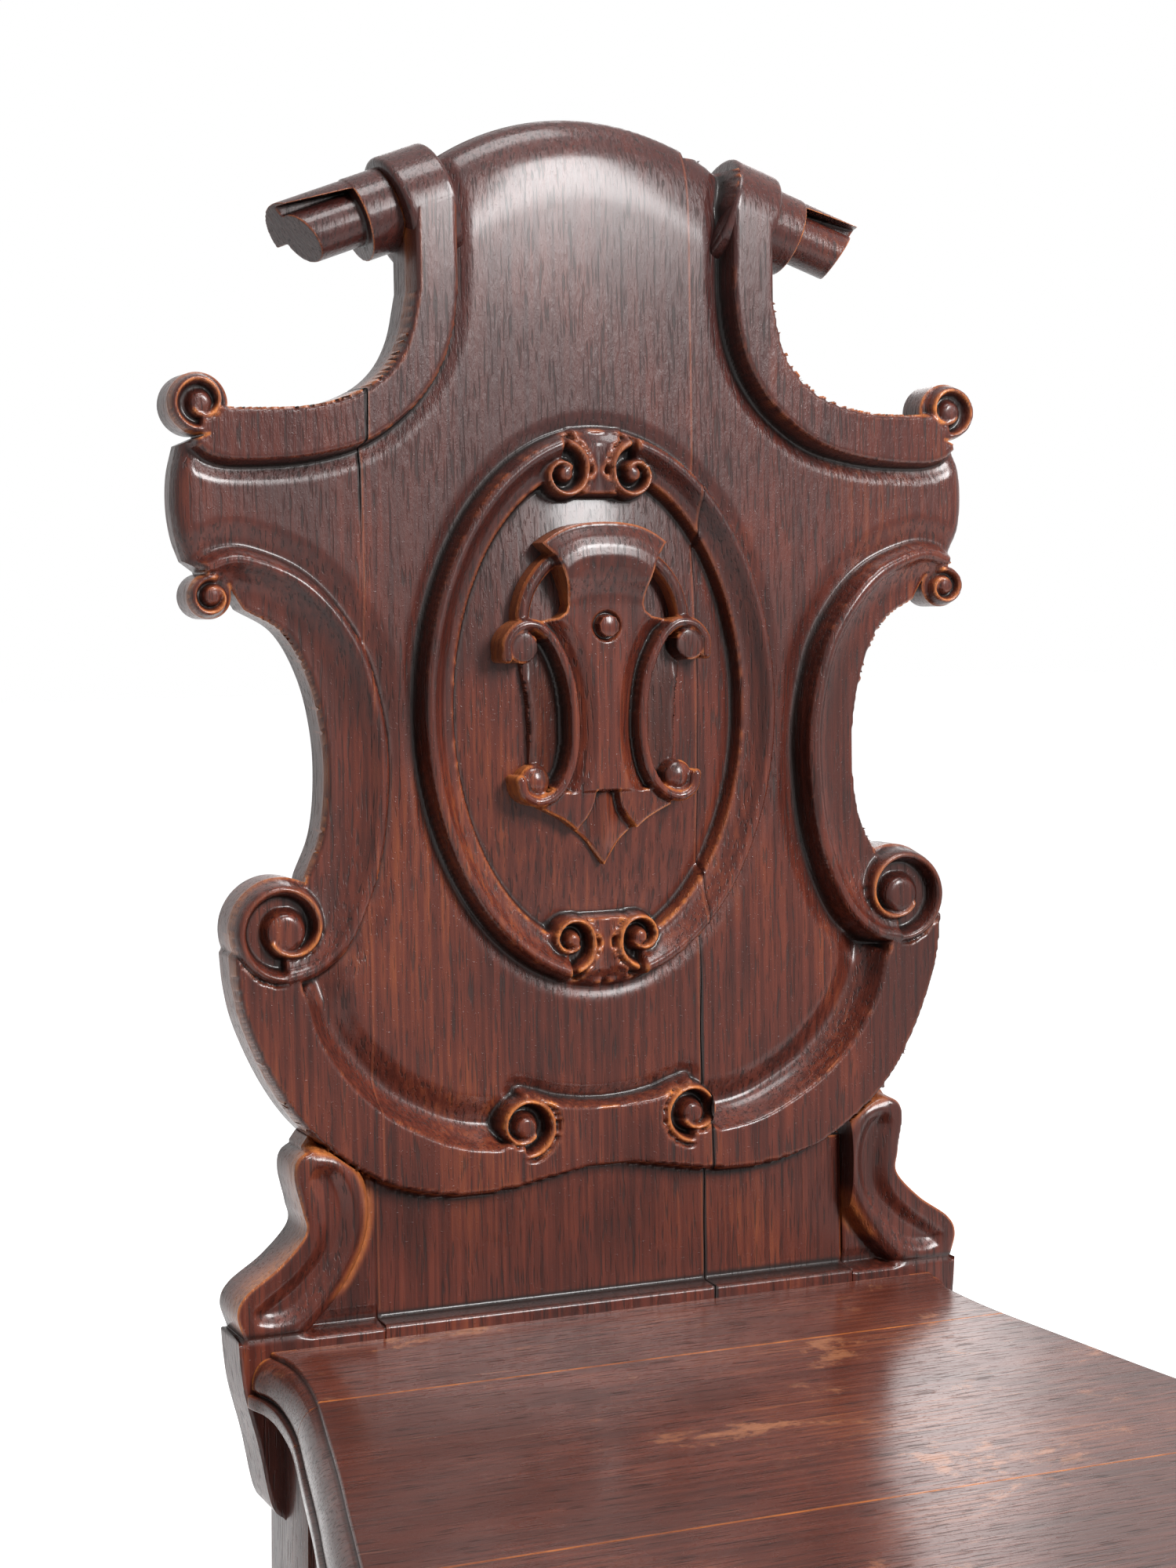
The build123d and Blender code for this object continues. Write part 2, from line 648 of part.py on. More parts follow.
def bracket_at(side, seam):
    """The bracket and ear of one side, on the foot board's glue seam."""
    with BuildSketch() as foot_outline:
        add(kidney.sketch)
        with Locations((seam, 0)):
            Rectangle(kidney_inner_shares[0][0] * back_half_width - seam, neck_top, align=(Align.MIN, Align.MIN))
        add(shield_outline.sketch, mode=Mode.SUBTRACT)
        Rectangle(seam, back_rise, align=(Align.MIN, Align.MIN), mode=Mode.SUBTRACT)
    with BuildSketch() as ear_outline:
        with BuildLine():
            Spline(*on_back(ear_shares))
            Polyline(on_back(ear_shares)[-1], (ear_shares[-1][0] * back_half_width, -ear_drop), (seam, -ear_drop),
                     (seam, ledge_rise), (ear_half_width, ledge_rise), on_back(ear_shares)[0])
        make_face()
    with BuildPart() as bracket:
        with BuildSketch(rear_face_plane):
            add(foot_outline.sketch)
        extrude(amount=ground_thickness)
        with BuildSketch(rear_face_plane):
            add(ear_outline.sketch)
        extrude(amount=board_thickness)
        with BuildSketch(back_plane):
            add(kidney.sketch)
            add(shield_outline.sketch, mode=Mode.SUBTRACT)
        extrude(amount=relief)
        with BuildSketch(front_face_plane):
            add(kidney_hollow.sketch)
        extrude(amount=-kidney_hollow_depth, mode=Mode.SUBTRACT)
    return bracket.part if side > 0 else mirror(bracket.part, about=Plane.YZ)


for side, name, seam in ((-1, "bracket_left", foot_seam_left), (1, "bracket_right", foot_seam_right)):
    plain_bracket = bracket_at(side, seam)
    with BuildPart() as bracket:
        add(plain_bracket)
        add(bracket_dowel_holes, mode=Mode.SUBTRACT)
        add(back_screw_holes, mode=Mode.SUBTRACT)
    bracket.part.label = name
    export_step(bracket.part, f"parts/{name}.step")

# Seat: three boards with the grain from side to side, glued edge to edge and moulded round three sides
seat_half_width = 203.0
seat_thickness = 20.0
seat_steps = ((0, 5.0), (2.5, 9.0), (6.0, 4.0), (13.0, 2.0))
seat_rear_run = 68.0
seat_front_run = 221.0
seat_side_shares = [(0.739, 0.026), (0.722, 0.058), (0.719, 0.100), (0.734, 0.171), (0.776, 0.276), (0.818, 0.379),
                    (0.852, 0.455), (0.906, 0.579), (0.966, 0.711), (1.0, 0.837)]
seat_corner_shares = [(1.0, 0.837), (0.962, 0.935), (0.860, 0.976)]
seat_front_shares = [(0.860, 0.976), (0.450, 0.993), (0, 1.0)]
seat_underside = seat_height - seat_thickness


def on_seat(shares, inset=0.0):
    """Points of the seat's plan from shares of its half width and of its run forward from the back."""
    return [(x_share * (seat_half_width - inset), back_foot_y - run_share * (seat_run - inset))
            for x_share, run_share in shares]


def seat_outline(inset):
    """The plan of one step of the seat, running back past its rear edge."""
    rear_share, rear_run_share = seat_side_shares[0]
    with BuildSketch() as outline:
        with BuildLine():
            Polyline(*on_seat([(0, -rear_run_share), (rear_share, -rear_run_share), seat_side_shares[0]], inset))
            Spline(*on_seat(seat_side_shares, inset))
            ThreePointArc(*on_seat(seat_corner_shares, inset))
            ThreePointArc(*on_seat(seat_front_shares, inset))
            mirror(about=Plane.YZ)
        make_face()
    return outline.sketch


seat_layers = [(seat_outline(inset), height) for inset, height in seat_steps]

with BuildPart() as seat:
    step_rise = seat_underside
    for layer, layer_height in seat_layers:
        with BuildSketch(Plane.XY.offset(step_rise)):
            add(layer)
        extrude(amount=layer_height)
        step_rise += layer_height
    split(bisect_by=front_face_plane, keep=Keep.TOP)

seat_dowel_xs = (-120.0, -40.0, 40.0, 120.0)
seat_dowel_planes = [
    Plane(origin=(x, back_foot_y - run - dowel_length / 2, seat_height - seat_thickness / 2), z_dir=(0, 1, 0))
    for run in (seat_rear_run, seat_front_run) for x in seat_dowel_xs
]
seat_dowel_holes = drilled(seat_dowel_planes, dowel_radius, dowel_length)
seat_dowels = rods(seat_dowel_planes, dowel_radius, dowel_length)
seat_dowels.label = "seat_dowels"
export_step(seat_dowels, "parts/seat_dowels.step")

# Frame under the seat: four legs, four rails on stub tenons and a screwed block in each corner
rail_height = 60.0
rail_thickness = 22.0
tenon_height = 40.0
tenon_thickness = 10.0
front_tenon_length = 20.0
side_tenon_length = 16.0
rear_tenon_length = 11.0
rear_leg_inner_x = 104.0
rear_leg_outer_x = 136.0
rear_leg_lead = 42.0
rear_leg_depth = 47.0
front_leg_inset = 47.0
front_leg_width = 44.0
front_head_height = 75.0
rail_setback = 2.0
block_height = 45.0
block_rise = seat_underside - block_height

rear_leg_front_y = back_foot_y - rear_leg_lead
rear_leg_rear_y = rear_leg_front_y + rear_leg_depth
front_leg_x = seat_half_width - front_leg_inset
front_leg_y = back_foot_y - seat_run + front_leg_inset
front_leg_inner_x = front_leg_x - front_leg_width / 2
front_leg_rear_y = front_leg_y + front_leg_width / 2
front_rail_front_y = front_leg_y - front_leg_width / 2 + rail_setback
front_rail_rear_y = front_rail_front_y + rail_thickness
side_rear_outer_x = rear_leg_outer_x - rail_setback
side_front_outer_x = front_leg_x + front_leg_width / 2 - rail_setback
side_rear_inner_x = side_rear_outer_x - rail_thickness
side_front_inner_x = side_front_outer_x - rail_thickness
side_slope = (side_front_inner_x - side_rear_inner_x) / (rear_leg_front_y - front_leg_rear_y)
rail_rise = seat_underside - rail_height
tenon_rise = rail_rise + (rail_height - tenon_height) / 2
rear_rail_front_y = rear_leg_front_y + rail_setback + rail_setback
rear_rail_depth = board_thickness + relief


def side_inner_x(y):
    """Distance of the side rail's inner face from the middle of the chair."""
    return side_rear_inner_x + side_slope * (rear_leg_front_y - y)


with BuildPart() as front_rail:
    with BuildSketch(Plane.XY.offset(rail_rise)):
        with Locations((0, front_rail_front_y)):
            Rectangle(2 * front_leg_inner_x, rail_thickness, align=(Align.CENTER, Align.MIN))
    extrude(amount=rail_height)
    with BuildSketch(Plane.XY.offset(tenon_rise)):
        with Locations((0, front_rail_front_y + rail_thickness / 2)):
            Rectangle(2 * (front_leg_inner_x + front_tenon_length), tenon_thickness)
    extrude(amount=tenon_height)

with BuildPart() as rear_rail:
    with BuildSketch(Plane.XY.offset(rail_rise)):
        with Locations((0, rear_rail_front_y)):
            Rectangle(2 * rear_leg_inner_x, rear_rail_depth, align=(Align.CENTER, Align.MIN))
    extrude(amount=rail_height)
    with BuildSketch(Plane.XY.offset(tenon_rise)):
        with Locations((0, rear_rail_front_y + rail_thickness / 2)):
            Rectangle(2 * (rear_leg_inner_x + rear_tenon_length), tenon_thickness)
    extrude(amount=tenon_height)
    split(bisect_by=front_face_plane, keep=Keep.TOP)


def side_rail_at(side):
    """One side rail, splayed outwards to the front, with a tenon at each end."""
    with BuildPart() as rail:
        with BuildSketch(Plane.XY.offset(rail_rise)):
            with BuildLine():
                Polyline((side * side_rear_outer_x, rear_leg_front_y), (side * side_rear_inner_x, rear_leg_front_y),
                         (side * side_front_inner_x, front_leg_rear_y), (side * side_front_outer_x, front_leg_rear_y),
                         close=True)
            make_face()
        extrude(amount=rail_height)
        with BuildSketch(Plane.XY.offset(tenon_rise)):
            with Locations((side * (side_rear_inner_x + rail_thickness / 2), rear_leg_front_y)):
                Rectangle(tenon_thickness, side_tenon_length, align=(Align.CENTER, Align.MIN))
            with Locations((side * (side_front_inner_x + rail_thickness / 2), front_leg_rear_y)):
                Rectangle(tenon_thickness, front_tenon_length, align=(Align.CENTER, Align.MAX))
        extrude(amount=tenon_height)
    return rail.part


side_rails = {side: side_rail_at(side) for side in (-1, 1)}

# Corner blocks: a face across the corner, two screws square to it into the rails, one up into the seat
block_front_reach = 50.0
block_side_reach = 50.0
block_screw_length = 38.0
seat_screw_bite = 12.0
seat_screw_inset = 12.0
block_screw_rise = block_rise + block_height / 2
front_block_outline = [
    (front_leg_inner_x - block_front_reach, front_rail_rear_y),
    (front_leg_inner_x, front_rail_rear_y),
    (front_leg_inner_x, front_leg_rear_y),
    (side_front_inner_x, front_leg_rear_y),
    (side_inner_x(front_leg_rear_y + block_side_reach), front_leg_rear_y + block_side_reach),
]
rear_block_outline = [
    (rear_leg_inner_x - block_front_reach, rear_rail_front_y),
    (rear_leg_inner_x, rear_rail_front_y),
    (rear_leg_inner_x, rear_leg_front_y),
    (side_rear_inner_x, rear_leg_front_y),
    (side_inner_x(rear_leg_front_y - block_side_reach), rear_leg_front_y - block_side_reach),
]


def block_screw_plane(outline, side, along):
    """The plane of a screw head on a block's open face, at a share of the way along that face."""
    start, end = Vector(*outline[0]), Vector(*outline[-1])
    face_dir = (end - start).normalized()
    inward = Vector(-face_dir.Y, face_dir.X)
    corner = Vector(*outline[1])
    if inward.dot(corner - start) < 0:
        inward = -inward
    point = start + (end - start) * along
    return Plane(origin=(side * point.X, point.Y, block_screw_rise), x_dir=(0, 0, 1),
                 z_dir=(side * inward.X, inward.Y, 0))


def seat_screw_plane(outline, side):
    """The plane of the head of the screw that goes up through a block into the seat."""
    face = block_screw_plane(outline, side, 1 / 2)
    point = face.origin + face.z_dir * seat_screw_inset
    return Plane(origin=(point.X, point.Y, block_rise), z_dir=(0, 0, 1))


block_outlines = {"front": front_block_outline, "rear": rear_block_outline}
block_screw_planes = [block_screw_plane(outline, side, along)
                      for outline in block_outlines.values() for side in (-1, 1) for along in (1 / 4, 3 / 4)]
seat_screw_planes = [seat_screw_plane(outline, side) for outline in block_outlines.values() for side in (-1, 1)]
seat_screw_length = block_height + seat_screw_bite
block_screw_holes = screw_holes(block_screw_planes, block_screw_length)
seat_screw_holes = screw_holes(seat_screw_planes, seat_screw_length)

block_screws = screw_set(block_screw_planes, block_screw_length)
block_screws.label = "block_screws"
export_step(block_screws, "parts/block_screws.step")
seat_screws = screw_set(seat_screw_planes, seat_screw_length)
seat_screws.label = "seat_screws"
export_step(seat_screws, "parts/seat_screws.step")

for end_name, outline in block_outlines.items():
    for side, side_name in ((-1, "left"), (1, "right")):
        with BuildPart() as corner_block:
            with BuildSketch(Plane.XY.offset(block_rise)):
                with BuildLine():
                    Polyline(*[(side * x, y) for x, y in outline], close=True)
                make_face()
            extrude(amount=block_height)
            add(block_screw_holes, mode=Mode.SUBTRACT)
            add(seat_screw_holes, mode=Mode.SUBTRACT)
        corner_block.part.label = f"corner_block_{end_name}_{side_name}"
        export_step(corner_block.part, f"parts/corner_block_{end_name}_{side_name}.step")

# Pegs that lock the tenons, driven from the inner faces of the legs
peg_pin_radius = 4.0
front_peg_length = 38.0
rear_peg_length = 26.0
rear_peg_inset = 6.0
peg_spread = 10.0
peg_middle = tenon_rise + tenon_height / 2
rail_peg_planes = []
for side in (-1, 1):
    rail_peg_planes += [
        Plane(origin=(side * (front_leg_inner_x + front_tenon_length / 2), front_leg_rear_y, peg_middle + peg_spread),
              z_dir=(0, -1, 0)),
        Plane(origin=(side * front_leg_inner_x, front_leg_rear_y - front_tenon_length / 2, peg_middle - peg_spread),
              z_dir=(side, 0, 0)),
        Plane(origin=(side * rear_leg_inner_x, rear_leg_front_y + rear_peg_inset, peg_middle - peg_spread),
              z_dir=(side, 0, 0)),
    ]
rail_peg_lengths = [front_peg_length, front_peg_length, rear_peg_length]
with BuildPart() as rail_pegs:
    for index, plane in enumerate(rail_peg_planes):
        with BuildSketch(plane):
            Circle(peg_pin_radius)
        extrude(amount=rail_peg_lengths[index % len(rail_peg_lengths)])
rail_pegs.part.label = "rail_pegs"
export_step(rail_pegs.part, "parts/rail_pegs.step")

with BuildPart() as rail_peg_holes:
    for index, plane in enumerate(rail_peg_planes):
        with BuildSketch(plane.offset(-pin_end_clearance)):
            Circle(peg_pin_radius + pin_clearance)
        extrude(amount=rail_peg_lengths[index % len(rail_peg_lengths)] + 2 * pin_end_clearance)

with BuildPart() as front_rail_finished:
    add(front_rail.part)
    add(rail_peg_holes.part, mode=Mode.SUBTRACT)
    add(block_screw_holes, mode=Mode.SUBTRACT)
front_rail_finished.part.label = "front_rail"
export_step(front_rail_finished.part, "parts/front_rail.step")

with BuildPart() as rear_rail_finished:
    add(rear_rail.part)
    add(back_screw_holes, mode=Mode.SUBTRACT)
    add(block_screw_holes, mode=Mode.SUBTRACT)
rear_rail_finished.part.label = "rear_rail"
export_step(rear_rail_finished.part, "parts/rear_rail.step")

for side, name in ((-1, "side_rail_left"), (1, "side_rail_right")):
    with BuildPart() as side_rail:
        add(side_rails[side])
        add(rail_peg_holes.part, mode=Mode.SUBTRACT)
        add(block_screw_holes, mode=Mode.SUBTRACT)
    side_rail.part.label = name
    export_step(side_rail.part, f"parts/{name}.step")

# Front legs: a square head that takes the tenons, turned below it
leg_turning_height = seat_underside - front_head_height
turning_radius = front_leg_width / 2
foot_shares = [(0.52, 0), (0.66, 0.030), (0.46, 0.085)]
ankle_bead_shares = [(0.54, 0.095), (0.70, 0.115), (0.54, 0.135)]
shaft_shares = [(0.48, 0.145), (0.60, 0.38), (0.82, 0.66), (0.80, 0.75), (0.55, 0.815)]
collar_bead_shares = [(0.62, 0.825), (0.88, 0.857), (0.62, 0.889)]
neck_shares = [(0.56, 0.900), (0.62, 0.935), (0.86, 0.960)]
cap_shares = [(0.97, 0.965), (0.97, 1.0)]


def on_turning(shares):
    """Points of the turned profile from shares of its greatest radius and of its height."""
    return [(radius_share * turning_radius, height_share * leg_turning_height)
            for radius_share, height_share in shares]


for side, name in ((-1, "front_leg_left"), (1, "front_leg_right")):
    with BuildPart() as front_leg:
        with BuildSketch(Plane.XY.offset(leg_turning_height)):
            with Locations((side * front_leg_x, front_leg_y)):
                Rectangle(front_leg_width, front_leg_width)
        extrude(amount=front_head_height)
        with BuildSketch(Plane(origin=(side * front_leg_x, front_leg_y, 0), x_dir=(1, 0, 0), z_dir=(0, -1, 0))):
            with BuildLine():
                Line((0, 0), on_turning(foot_shares)[0])
                Spline(*on_turning(foot_shares), tangents=((1, 1), (0, 1)))
                Line(on_turning(foot_shares)[-1], on_turning(ankle_bead_shares)[0])
                ThreePointArc(*on_turning(ankle_bead_shares))
                Line(on_turning(ankle_bead_shares)[-1], on_turning(shaft_shares)[0])
                Spline(*on_turning(shaft_shares), tangents=((0, 1), (-1, 1)))
                Line(on_turning(shaft_shares)[-1], on_turning(collar_bead_shares)[0])
                ThreePointArc(*on_turning(collar_bead_shares))
                Line(on_turning(collar_bead_shares)[-1], on_turning(neck_shares)[0])
                Spline(*on_turning(neck_shares))
                Polyline(*on_turning([neck_shares[-1]] + cap_shares + [(0, 1.0), (0, 0)]))
            make_face()
        revolve(axis=Axis((side * front_leg_x, front_leg_y, 0), (0, 0, 1)))
        add(front_rail.part, mode=Mode.SUBTRACT)
        add(side_rails[side], mode=Mode.SUBTRACT)
        add(rail_peg_holes.part, mode=Mode.SUBTRACT)
    front_leg.part.label = name
    export_step(front_leg.part, f"parts/{name}.step")

# Rear legs: upright beside the rear rail, swept back below, notched behind for the foot of the back
leg_bend_rise = 340.0
leg_foot_depth = 34.0
with BuildPart() as back_notch:
    with BuildSketch(rear_face_plane.offset(-overrun)):
        with Locations((0, -ear_drop)):
            Rectangle(2 * ear_half_width, back_rise, align=(Align.CENTER, Align.MIN))
    extrude(amount=board_thickness + overrun)

for side, name in ((-1, "rear_leg_left"), (1, "rear_leg_right")):
    leg_inner_face = Plane(origin=(min(side * rear_leg_inner_x, side * rear_leg_outer_x), 0, 0),
                           x_dir=(0, 1, 0), z_dir=(1, 0, 0))
    with BuildPart() as rear_leg:
        with BuildSketch(leg_inner_face):
            with BuildLine():
                Polyline((rear_leg_front_y, leg_bend_rise), (rear_leg_front_y, seat_underside),
                         (rear_leg_rear_y, seat_underside), (rear_leg_rear_y, leg_bend_rise))
                Spline((rear_leg_rear_y, leg_bend_rise), (chair_depth / 2, 0),
                       tangents=((0, -1), (rear_leg_rear_y - rear_leg_front_y, -leg_bend_rise / 2)))
                Line((chair_depth / 2, 0), (chair_depth / 2 - leg_foot_depth, 0))
                Spline((rear_leg_front_y, leg_bend_rise), (chair_depth / 2 - leg_foot_depth, 0),
                       tangents=((0, -1), (rear_leg_rear_y - rear_leg_front_y, -leg_bend_rise / 2)))
            make_face()
        extrude(amount=rear_leg_outer_x - rear_leg_inner_x)
        add(back_notch.part, mode=Mode.SUBTRACT)
        add(rear_rail.part, mode=Mode.SUBTRACT)
        add(side_rails[side], mode=Mode.SUBTRACT)
        add(rail_peg_holes.part, mode=Mode.SUBTRACT)
        add(back_screw_holes, mode=Mode.SUBTRACT)
    rear_leg.part.label = name
    export_step(rear_leg.part, f"parts/{name}.step")

# The seat is sawn at its glue seams last, with the screw holes from the corner blocks in its underside
seat_seams = (back_foot_y - seat_rear_run, back_foot_y - seat_front_run)
seat_strips = {
    "seat_board_rear": (seat_seams[0], back_foot_y),
    "seat_board_middle": (seat_seams[1], seat_seams[0]),
    "seat_board_front": (back_foot_y - seat_run - overrun, seat_seams[1]),
}
for name, (strip_front, strip_rear) in seat_strips.items():
    with BuildPart() as seat_strip:
        with Locations((0, strip_front, 0)):
            Box(chair_depth, strip_rear - strip_front, seat_height + overrun,
                align=(Align.CENTER, Align.MIN, Align.MIN))
    with BuildPart() as seat_board:
        add(seat.part)
        add(seat_strip.part, mode=Mode.INTERSECT)
        add(seat_dowel_holes, mode=Mode.SUBTRACT)
        add(seat_screw_holes, mode=Mode.SUBTRACT)
    seat_board.part.label = name
    export_step(seat_board.part, f"parts/{name}.step")
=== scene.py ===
import bpy
import bmesh
import numpy as np
from math import cos, sin, radians
from mathutils import Matrix, Vector


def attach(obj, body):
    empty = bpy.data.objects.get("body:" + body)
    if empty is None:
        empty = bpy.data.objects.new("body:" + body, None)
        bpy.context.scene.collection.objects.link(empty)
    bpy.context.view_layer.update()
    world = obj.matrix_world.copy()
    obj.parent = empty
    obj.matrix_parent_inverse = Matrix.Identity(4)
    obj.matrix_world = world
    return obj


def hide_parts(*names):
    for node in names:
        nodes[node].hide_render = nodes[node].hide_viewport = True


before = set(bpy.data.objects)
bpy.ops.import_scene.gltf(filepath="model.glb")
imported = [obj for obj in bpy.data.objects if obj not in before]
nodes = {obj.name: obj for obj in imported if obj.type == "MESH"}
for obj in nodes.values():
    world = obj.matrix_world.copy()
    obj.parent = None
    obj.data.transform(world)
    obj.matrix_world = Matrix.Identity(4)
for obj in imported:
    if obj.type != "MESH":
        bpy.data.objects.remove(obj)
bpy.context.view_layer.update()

# Camera: at the height of the back, to the left of the chair, looking a little down at the seat, as a visitor
# who stands beside it sees it.
camera_data = bpy.data.cameras.new("camera")
camera_data.sensor_width = 36.0
camera_data.lens = 64.6
camera = bpy.data.objects.new("camera", camera_data)
bpy.context.scene.collection.objects.link(camera)
camera_turn = radians(23.0)
camera_drop = radians(7.24)
camera_roll = radians(0.575)
camera_place = Vector((-0.4292, -0.8323, 0.7832))
away = Vector((-sin(camera_turn) * cos(camera_drop), -cos(camera_turn) * cos(camera_drop), sin(camera_drop)))
level = Vector((cos(camera_turn), -sin(camera_turn), 0.0))
upright = away.cross(level)
right = cos(camera_roll) * level + sin(camera_roll) * upright
up = -sin(camera_roll) * level + cos(camera_roll) * upright
camera.matrix_world = Matrix.Translation(camera_place) @ Matrix((right, up, away)).transposed().to_4x4()
bpy.context.scene.camera = camera
bpy.context.scene.view_settings.view_transform = "Standard"

# Studio: a white paper floor that keeps the chair's shadow, white air all round, a strip box on the right of the
# camera, a box overhead and a low one behind that puts the sheen on the seat.
bpy.ops.object.select_all(action="DESELECT")
bpy.ops.mesh.primitive_plane_add(size=14.0, location=(0.0, 0.0, 0.0))
floor = bpy.context.object
floor.name = "studio_floor"


def background_rays(tree):
    """1 for the rays that see the background: from the camera, off gloss and through glass."""
    path = tree.nodes.new("ShaderNodeLightPath")
    total = None
    for ray in ("Is Camera Ray", "Is Glossy Ray", "Is Transmission Ray"):
        step = tree.nodes.new("ShaderNodeMath")
        step.operation = "ADD"
        step.use_clamp = True
        tree.links.new(path.outputs[ray], step.inputs[0])
        if total is None:
            step.inputs[1].default_value = 0.0
        else:
            tree.links.new(total, step.inputs[1])
        total = step.outputs[0]
    return total


white, paper_glow, air_on_chair = (1.0, 1.0, 1.0, 1.0), 0.88, 0.12
paper = bpy.data.materials.new("studio_paper")
paper.use_nodes = True
paper_shader = paper.node_tree.nodes["Principled BSDF"]
paper_shader.inputs["Base Color"].default_value = (0.85, 0.85, 0.85, 1.0)
paper_shader.inputs["Roughness"].default_value = 0.9
paper_shader.inputs["Emission Color"].default_value = white
paper_lift = paper.node_tree.nodes.new("ShaderNodeMath")
paper_lift.operation = "MULTIPLY"
paper_lift.inputs[1].default_value = paper_glow
paper.node_tree.links.new(background_rays(paper.node_tree), paper_lift.inputs[0])
paper.node_tree.links.new(paper_lift.outputs[0], paper_shader.inputs["Emission Strength"])
floor.data.materials.append(paper)

world = bpy.data.worlds.new("studio")
bpy.context.scene.world = world
world.use_nodes = True
air = world.node_tree
air_strength = air.nodes.new("ShaderNodeMapRange")
air_strength.inputs["To Min"].default_value = air_on_chair
air_strength.inputs["To Max"].default_value = 1.0
air.links.new(background_rays(air), air_strength.inputs["Value"])
air.links.new(air_strength.outputs["Result"], air.nodes["Background"].inputs["Strength"])
air.nodes["Background"].inputs["Color"].default_value = white


def soft_box(name, place, aim, width, height, power):
    """A studio lamp behind a diffuser, turned towards a point on the chair."""
    lamp = bpy.data.lights.new(name, "AREA")
    lamp.shape = "RECTANGLE"
    lamp.size = width
    lamp.size_y = height
    lamp.energy = power
    box = bpy.data.objects.new(name, lamp)
    box.location = place
    box.rotation_euler = (Vector(aim) - Vector(place)).to_track_quat("-Z", "Y").to_euler()
    bpy.context.scene.collection.objects.link(box)


soft_box("key_box", (0.66, -1.42, 1.60), (0.0, 0.15, 0.72), 0.42, 0.80, 66.0)
soft_box("top_box", (0.10, -0.25, 2.35), (0.0, 0.10, 0.70), 0.75, 0.6, 27.0)
soft_box("rear_box", (0.75, 1.75, 1.15), (0.0, 0.0, 0.45), 0.8, 0.8, 4.5)

# Back: three oak boards glued edge to edge, 25 mm thick, the ground cut down 10 mm so that straps, volutes and the
# oval frame stand up in one piece with them. The back leans a little and stands on the rear legs.
back_lean = radians(3.8)
back_foot = Vector((0.0, 0.155, 0.440))
back_up = Vector((0.0, sin(back_lean), cos(back_lean)))
back_out = Vector((0.0, -cos(back_lean), sin(back_lean)))


def flow(points, step=1.2):
    """A smooth line through marked points, in millimetres across and up the back."""
    marked = np.array(points, float)
    held = np.vstack([2 * marked[0] - marked[1], marked, 2 * marked[-1] - marked[-2]])
    pieces = []
    for a, b, c, d in zip(held[:-3], held[1:-2], held[2:-1], held[3:]):
        count = max(2, int(np.linalg.norm(c - b) / step))
        t = np.linspace(0.0, 1.0, count, endpoint=False)[:, None]
        pieces.append(0.5 * (2 * b + (c - a) * t + (2 * a - 5 * b + 4 * c - d) * t ** 2
                             + (3 * b - a - 3 * c + d) * t ** 3))
    return np.vstack(pieces + [marked[-1:]])


def ring(centre, radius, start=0.0, sweep=360.0, count=60, tall=None):
    """A round or oval line about a centre."""
    angle = np.radians(np.linspace(start, start + sweep, count))
    return np.stack([centre[0] + radius * np.cos(angle), centre[1] + (tall or radius) * np.sin(angle)], 1)


def reach(x, s, line, far):
    """Distance from each point to a drawn line, and the nearest point of that line."""
    shape = x.shape
    x, s = x.ravel(), s.ravel()
    gap = np.full(x.shape, far)
    nearest_x, nearest_s = x.copy(), s.copy()
    low, high = line.min(0) - far, line.max(0) + far
    close = np.nonzero((x > low[0]) & (x < high[0]) & (s > low[1]) & (s < high[1]))[0]
    px, ps = x[close], s[close]
    best = np.full(px.shape, far ** 2)
    bx, bs = px.copy(), ps.copy()
    for a, b in zip(line[:-1], line[1:]):
        run = b - a
        share = np.clip(((px - a[0]) * run[0] + (ps - a[1]) * run[1]) / (run @ run + 1e-12), 0.0, 1.0)
        qx, qs = a[0] + share * run[0], a[1] + share * run[1]
        squared = (px - qx) ** 2 + (ps - qs) ** 2
        nearer = squared < best
        best[nearer], bx[nearer], bs[nearer] = squared[nearer], qx[nearer], qs[nearer]
    gap[close] = np.sqrt(best)
    nearest_x[close], nearest_s[close] = bx, bs
    return gap.reshape(shape), nearest_x.reshape(shape), nearest_s.reshape(shape)


def within(x, s, line):
    """True for each point that a closed line goes round."""
    crossed = np.zeros(x.shape, bool)
    for a, b in zip(line, np.roll(line, -1, 0)):
        if a[1] != b[1]:
            spans = (a[1] > s) != (b[1] > s)
            crossed ^= spans & (x < (b[0] - a[0]) * (s - a[1]) / (b[1] - a[1]) + a[0])
    return crossed


def ease(value, low, high):
    """0 below low, 1 above high, and a smooth rise between them."""
    share = np.clip((value - low) / (high - low), 0.0, 1.0)
    return share * share * (3.0 - 2.0 * share)


def wall(gap, width, power):
    """1 on a line, falling to 0 at a width from it."""
    return np.clip(1.0 - gap / width, 0.0, 1.0) ** power


def dome(share, power=2):
    """1 where the share is 0, falling faster and faster to 0 where it is 1."""
    return np.sqrt(np.clip(1.0 - share ** power, 0.0, 1.0))


def rounded(gap, radius):
    """How far a rounded arris has fallen, at a distance in from its edge."""
    return radius * (1.0 - dome(wall(gap, radius, 1)))


